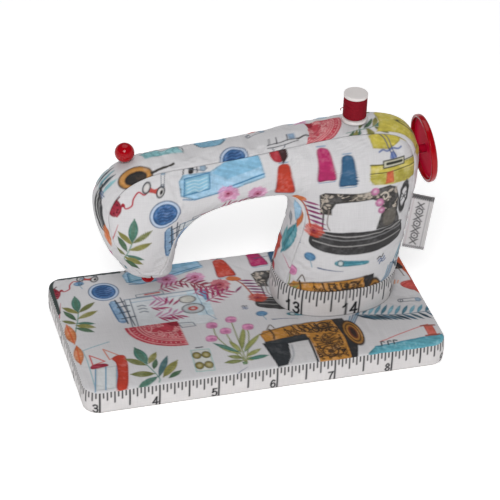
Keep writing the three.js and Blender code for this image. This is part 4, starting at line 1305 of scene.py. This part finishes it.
def base_band():
    total, low, high = outline_at(0.0, 0.0)[2], 0.2, SEAM_Z + 0.25
    s, height = np.linspace(-total / 2, total / 2, 1850, endpoint=False)[:, None], high - low
    v = (spread(46, 0.5) * height)[None]
    bulge = 0.35 * np.sin(np.pi * v / height) - 0.15
    pucker = 0.14 * (noise(s + 300, v * 0.4, 2.1) - 0.5) * np.exp(-(height - v) / 3)
    pucker = pucker + 0.12 * (mottle(s + 300, v, 19) - 0.5)
    roll = rolled_in(height - v, 0.8, 0.75, 0.4) + rolled_in(v, 0.9, 0.8, 0.4)
    x, y, _ = outline_at(s, roll - bulge + pucker)
    ix, iy, _ = outline_at(s, np.full((1, 3), 1.3))
    outer = np.stack(np.broadcast_arrays(x, y, low + v), -1)
    inner = np.stack(np.broadcast_arrays(ix, iy, np.linspace(low + 0.3, high - 0.3, 3)), -1)
    tape_band("tape_base_band", "base_tape_band", outer, inner, s, v, -5.88 * INCH, 3.9,
              (total, height))


def pillar_band():
    rows, height, first, run = 620, 12.3, -0.035, 1.03
    angle = (np.pi / 2 + np.linspace(0, TURN, rows, endpoint=False))[:, None]
    t = (first + run * spread(48, 0.5))[None]
    level = body_point(np.full_like(angle, 0.5), angle)[:, 0]
    s = run_of(np.linalg.norm(np.roll(level, -1, 0) - level, axis=1))
    s, total = s[:-1, None], float(s[-1])
    v = (t - first) / run * height
    roll = rolled_in(height - v, 0.8, 0.7, 0.5) + rolled_in(v, 0.7, 0.5, 0.5)
    bulge = 0.3 * np.sin(np.pi * v / height)
    pucker = 0.2 * (noise(s, v * 0.4, 2.3) - 0.5) * np.exp(-(height - v) / 3)
    outer = body_point(t, angle, roll - bulge + pucker)
    inner = body_point(np.linspace(0.02, 0.93, 3)[None], angle, 1.3)
    front = (level[:, 1] < BODY_Y) & (level[:, 0] < 50)
    thirteen = s[front, 0][np.argmin(np.abs(level[front, 0] - 23.3))]  # the 13 stands at x = 23.3
    tape_band("tape_pillar_band", "pillar_tape_band", outer, inner, s, v, thirteen - 13 * INCH, 5.2,
              (total, height))


base_top()
base_band()
pillar_band()


# ------------------------------------------------------------------ spool, handwheel and pins
def thread_tube(name, points, radius, body, sides=8):
    """A closed round thread through a few points."""
    line = smoothed(points, steps=8)
    ahead = np.gradient(line, axis=0)
    ahead /= np.linalg.norm(ahead, axis=1)[:, None]
    across = np.cross(ahead, (0.3, 0.2, 0.93))
    across /= np.linalg.norm(across, axis=1)[:, None]
    other = np.cross(ahead, across)
    turn = np.linspace(0, TURN, sides, endpoint=False)[:, None, None]
    rings = line + radius * (np.cos(turn) * across + np.sin(turn) * other)
    return make_mesh(name, rings.reshape(-1, 3), tube_polygons(sides, len(line)),
                     body)


def spool():
    at, height = np.array(SPOOL["at"]), SPOOL["height"]
    profile = [(0, 9.9), (1.25, 9.9), (1.25, 0), (5.5, 0), (5.5, 1.4), (2.5, 2.1), (2.5, 11.0),
               (5.15, 11.4),
               (5.15, height), (0, height)]
    body = turned("spool_body", rounded(profile, 0.4), 96, at, "spool")
    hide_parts("spool_bobbin")
    dress(body, WHITE)
    sides, rows, few, pitch, low, high = 96, 190, 3, 0.36, 1.75, 11.25
    turn = np.linspace(0, TURN, sides, endpoint=False)[:, None]
    z = np.linspace(low, high, rows)[None]
    end = np.minimum(z - low, high - z)
    winding = 0.1 * np.abs(np.sin(np.pi * (z / pitch - turn / TURN)))
    radius = SPOOL["wound"] - 0.5 * np.exp(-end / 0.25) + winding
    radius = radius + 0.1 * (noise(z * 3 + turn, turn * 0.3, 1.1) - 0.5)
    points = []
    for r, up in ((radius, z), (2.8, np.linspace(low + 0.5, high - 0.4, few)[None])):
        skin = np.stack(np.broadcast_arrays(r * np.cos(turn), r * np.sin(turn), up), -1)
        points.append(skin.reshape(-1, 3) + at)
    polygons = skin_polygons(sides, rows, few, True)
    wound = make_mesh("wound_thread", np.vstack(points), polygons, "spool")
    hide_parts("spool_thread")
    dress(wound, THREAD)
    tail = at + [(-3.0, -3.9, 7.6), (-4.6, -2.6, 7.9), (-5.9, -1.6, 7.4), (-6.8, -1.2, 6.6),
                 (-6.6, -1.3, 5.9)]
    dress(thread_tube("loose_thread_end", tail, 0.16, "spool"), THREAD)


def handwheel():
    radius, half, shank = WHEEL["radius"], WHEEL["thick"] / 2, WHEEL["shank"]
    tip, floor_at, wall = -half - 2.0, -half + 1.9, radius - 1.4
    profile = [
        (0, tip), (shank, tip), (shank, floor_at), (wall - 0.5, floor_at), (wall, floor_at - 0.5),
        (wall, -half + 0.3), (wall + 0.3, -half), (radius - 0.3, -half), (radius, -half + 0.3),
        (radius, half - 1.0), (radius - 0.4, half - 0.35), (radius - 1.0, half), (0, half),
    ]
    disc = turned("handwheel_disc", rounded(profile, 0.35), 160, WHEEL["at"],
                  "handwheel",
                  WHEEL["axis"])
    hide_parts("handwheel_button")
    dress(disc, RED_GLOSS, RED_MATT_PAINTED_LIGHT, RED_SHADED)
    axis, middle = Vector(WHEEL["axis"]).normalized(), Vector(WHEEL["at"]) * MM
    for face in disc.data.polygons:
        out = face.center - middle
        depth, radial = out.dot(axis) / MM, (out - axis * out.dot(axis)).length / MM
        # Faces in the hollow take the brighter red of painted light, and the shank's faces take the darker
        # red of painted shade.
        if radial < wall - 0.3 and depth < half - 0.1:
            face.material_index = 1 if radial > shank + 0.2 else 2


def bead(name, node, at, radius, body, up):
    """A bead with the small flat and hole where the pin's wire enters it."""
    angle = np.linspace(0.12, np.pi - 0.02, 44)
    ring = np.stack([radius * np.sin(angle), -radius * np.cos(angle)], -1)
    hole = ring[0, 1] + 0.25
    profile = np.vstack([(0, hole), (ring[0, 0] * 0.8, hole), ring, (0, radius)])
    obj = turned(name, profile, 72, at, body, (0, 0, up))
    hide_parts(node)
    dress(obj, RED_GLOSS)


spool()
handwheel()
bead("top_bead", "top_pin_ball", TOP_PIN["at"], TOP_PIN["ball"], "top_pin", 1)
pole = section_at(np.array(LAST_RIB + 1.0))[0]
under_head = (pole[0], BODY_Y, pole[1] - NEEDLE_BALL["below"])
bead("needle_bead", "needle_ball", under_head, NEEDLE_BALL["radius"], "needle_pin", -1)


# ------------------------------------------------------------------ label
def print_label(cloth, width, height):
    """Stitched zigzags at both ends, thin lines along both sides, and a row of plain motifs."""
    whole = Patch(cloth, 0, 0, 60)
    ink, step, rings = "3b3a3c", 0.45, 3.1
    for edge, far, wide, strength in ((height - 0.5, height - 1.7, 0.75, 1),
                                      (0.5, 1.4, 0.45, 0.85)):
        zigzag = [(0.3 + step * k, edge if k % 2 else far) for k in range(int(width / step))]
        whole.rule(zigzag, wide, ink, strength=strength)
        if strength == 1:
            whole.rule([(0, height - 0.35), (width, height - 0.35)], 0.7, ink)
    whole.rule([(width - 1.9, 1.2), (width - 1.9, height - 1.4)], 0.3, ink, strength=0.7)
    whole.rule([(0.9, 1.2), (0.9, height - 1.4)], 0.25, "8a5a66", strength=0.5)
    whole.rule([(width - 0.9, 0), (width - 0.9, height)], 0.25, "9a9696", strength=0.6)
    middle = (width - 1.0) / 2
    for k in range(7):
        y = 3.6 + rings * k
        if k % 2:
            whole.oval(middle, y, 1.35, 1.35, ink, ring=0.55, wet=0.1, rim=0)
            whole.oval(middle, y, 0.35, 0.35, ink, wet=0.1, rim=0)
            continue
        for rise in (1.2, -1.2):
            whole.rule([(middle - 1.3, y - rise), (middle + 1.3, y + rise)], 0.55, ink, wet=0.1)
    for k in range(6):
        y = 5.15 + rings * k
        wave = [(middle - 1.9, y), (middle - 0.6, y + 0.5), (middle + 0.6, y - 0.5),
                (middle + 1.9, y)]
        whole.stroke(wave, 0.35, ink, wet=0.1)


def woven_label():
    """A label folded at its outer edge, a little bowed and skewed."""
    top, foot = np.array(LABEL["top"]), np.array(LABEL["foot"])
    width, height, half = LABEL["width"], float(np.linalg.norm(top - foot)), 0.34
    up, lean = (top - foot) / height, math.radians(LABEL["lean"])
    out = np.array([math.cos(lean), math.sin(lean), 0.0])
    out -= up * out.dot(up)
    out /= np.linalg.norm(out)
    normal = np.cross(out, up)
    w = np.linspace(0, width - half, 34)
    fold = np.linspace(np.pi / 2, -np.pi / 2, 9)[1:-1]
    section = [(a, half) for a in w]
    section += [(width - half + half * math.cos(a), half * math.sin(a)) for a in fold]
    section += [(a, -half) for a in w[::-1]]
    section += [(0.0, -0.09), (width - 0.6, -0.07), (width - 0.6, 0.07), (0.0, 0.09)]
    across, thick = np.array(section).T[:, :, None, None]
    v = np.linspace(0, height, 100)
    rise, share = v[:, None], across / width
    bow = 0.5 * np.sin(np.pi * rise / height) * share - 0.25 * share**2
    bow = bow + 0.5 * (rise / height - 0.5) * share
    points = foot + 0.3 * out + across * out + rise * up + (thick + bow) * normal
    u, v = (g.ravel() for g in np.broadcast_arrays(across[..., 0], v))
    cloth = Cloth(u, v, "c2bfc0")
    print_label(cloth, width, height)
    polygons = tube_polygons(len(section), points.shape[1])
    obj = make_mesh("woven_label", points.reshape(-1, 3), polygons, "label",
                    np.stack([u, v], -1), cloth.rgb)
    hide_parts("label_tag")
    dress(obj, LABEL_CLOTH)


woven_label()

for node_material, names in (
    (FILLING, ("base_bottom_cover", "base_foam", "body_stuffing")),
    (BOARD, ("base_board", "pillar_foot_disc")),
    (STEEL, ("spool_pin", "top_pin_shaft", "needle_shaft")), (THREAD, ("handwheel_thread",)),
):
    for node_name in names:
        dress(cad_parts[node_name], node_material)


# ------------------------------------------------------------------ camera, light and floor
def placed(name, data):
    obj = bpy.data.objects.new(name, data)
    bpy.context.scene.collection.objects.link(obj)
    return obj


def floor():
    mesh, side = bpy.data.meshes.new("floor"), 3.0
    corners = (-side, -side, 0), (side, -side, 0), (side, side, 0), (-side, side, 0)
    mesh.from_pydata(corners, [], [(0, 1, 2, 3)])
    obj = placed("floor", mesh)
    obj.location.z = -0.0002
    glow = dict(Emission_Color=(1, 1, 1, 1), Emission_Strength=0.4)
    dress(obj, material("pale floor", plain("fafafa", 0.75, 0.004, 3, **glow)))


def area_light(name, at, aim, size, power, colour):
    lamp = bpy.data.lights.new(name, "AREA")
    lamp.shape, lamp.size, lamp.energy, lamp.color = "DISK", size, power, colour
    obj = placed(name, lamp)
    obj.location = at
    obj.rotation_euler = (Vector(aim) - Vector(at)).to_track_quat("-Z", "Y").to_euler()


def camera():
    yaw, pitch, roll = (math.radians(a) for a in (-16.92, 34.56, 2.42))
    ahead = Vector((-math.sin(yaw) * math.cos(pitch), math.cos(yaw) * math.cos(pitch),
                    -math.sin(pitch)))
    level = Vector((math.cos(yaw), math.sin(yaw), 0))
    over = level.cross(ahead)
    right = level * math.cos(roll) + over * math.sin(roll)
    up = over * math.cos(roll) - level * math.sin(roll)
    data = bpy.data.cameras.new("camera")
    data.sensor_width, data.lens, data.clip_start, data.clip_end = 36.0, 161.5, 0.05, 20
    obj = placed("camera", data)
    turn = Matrix((right, up, -ahead)).transposed().to_4x4()
    obj.matrix_world = Matrix.Translation((-0.2273, -0.7515, 0.5845)) @ turn
    bpy.context.scene.camera = obj


def daylight():
    """A white room: bright all round near the horizon and dimmer overhead, with two soft lamps."""
    world = bpy.data.worlds.new("studio")
    bpy.context.scene.world = world
    world.use_nodes = True
    tree = world.node_tree
    kinds = "ShaderNodeTexCoord", "ShaderNodeSeparateXYZ", "ShaderNodeMapRange"
    direction, parts, glow = (tree.nodes.new(kind) for kind in kinds)
    tree.links.new(direction.outputs["Generated"], parts.inputs[0])
    tree.links.new(parts.outputs["Z"], glow.inputs["Value"])
    for key, value in (("From Min", 0.12), ("From Max", 0.3), ("To Min", 0.95), ("To Max", 0.12)):
        glow.inputs[key].default_value = value
    tree.links.new(glow.outputs[0], tree.nodes["Background"].inputs["Strength"])
    tree.nodes["Background"].inputs["Color"].default_value = (1, 1, 1, 1)
    bpy.context.scene.view_settings.view_transform = "Standard"
    area_light("key", (-0.22, -0.62, 0.72), (0, 0, 0.04), 0.42, 5.2, (1.0, 0.99, 0.985))
    area_light("above", (0.1, 0.45, 1.2), (0, 0, 0.05), 1.1, 5.2, (0.985, 0.99, 1))


floor()
camera()
daylight()
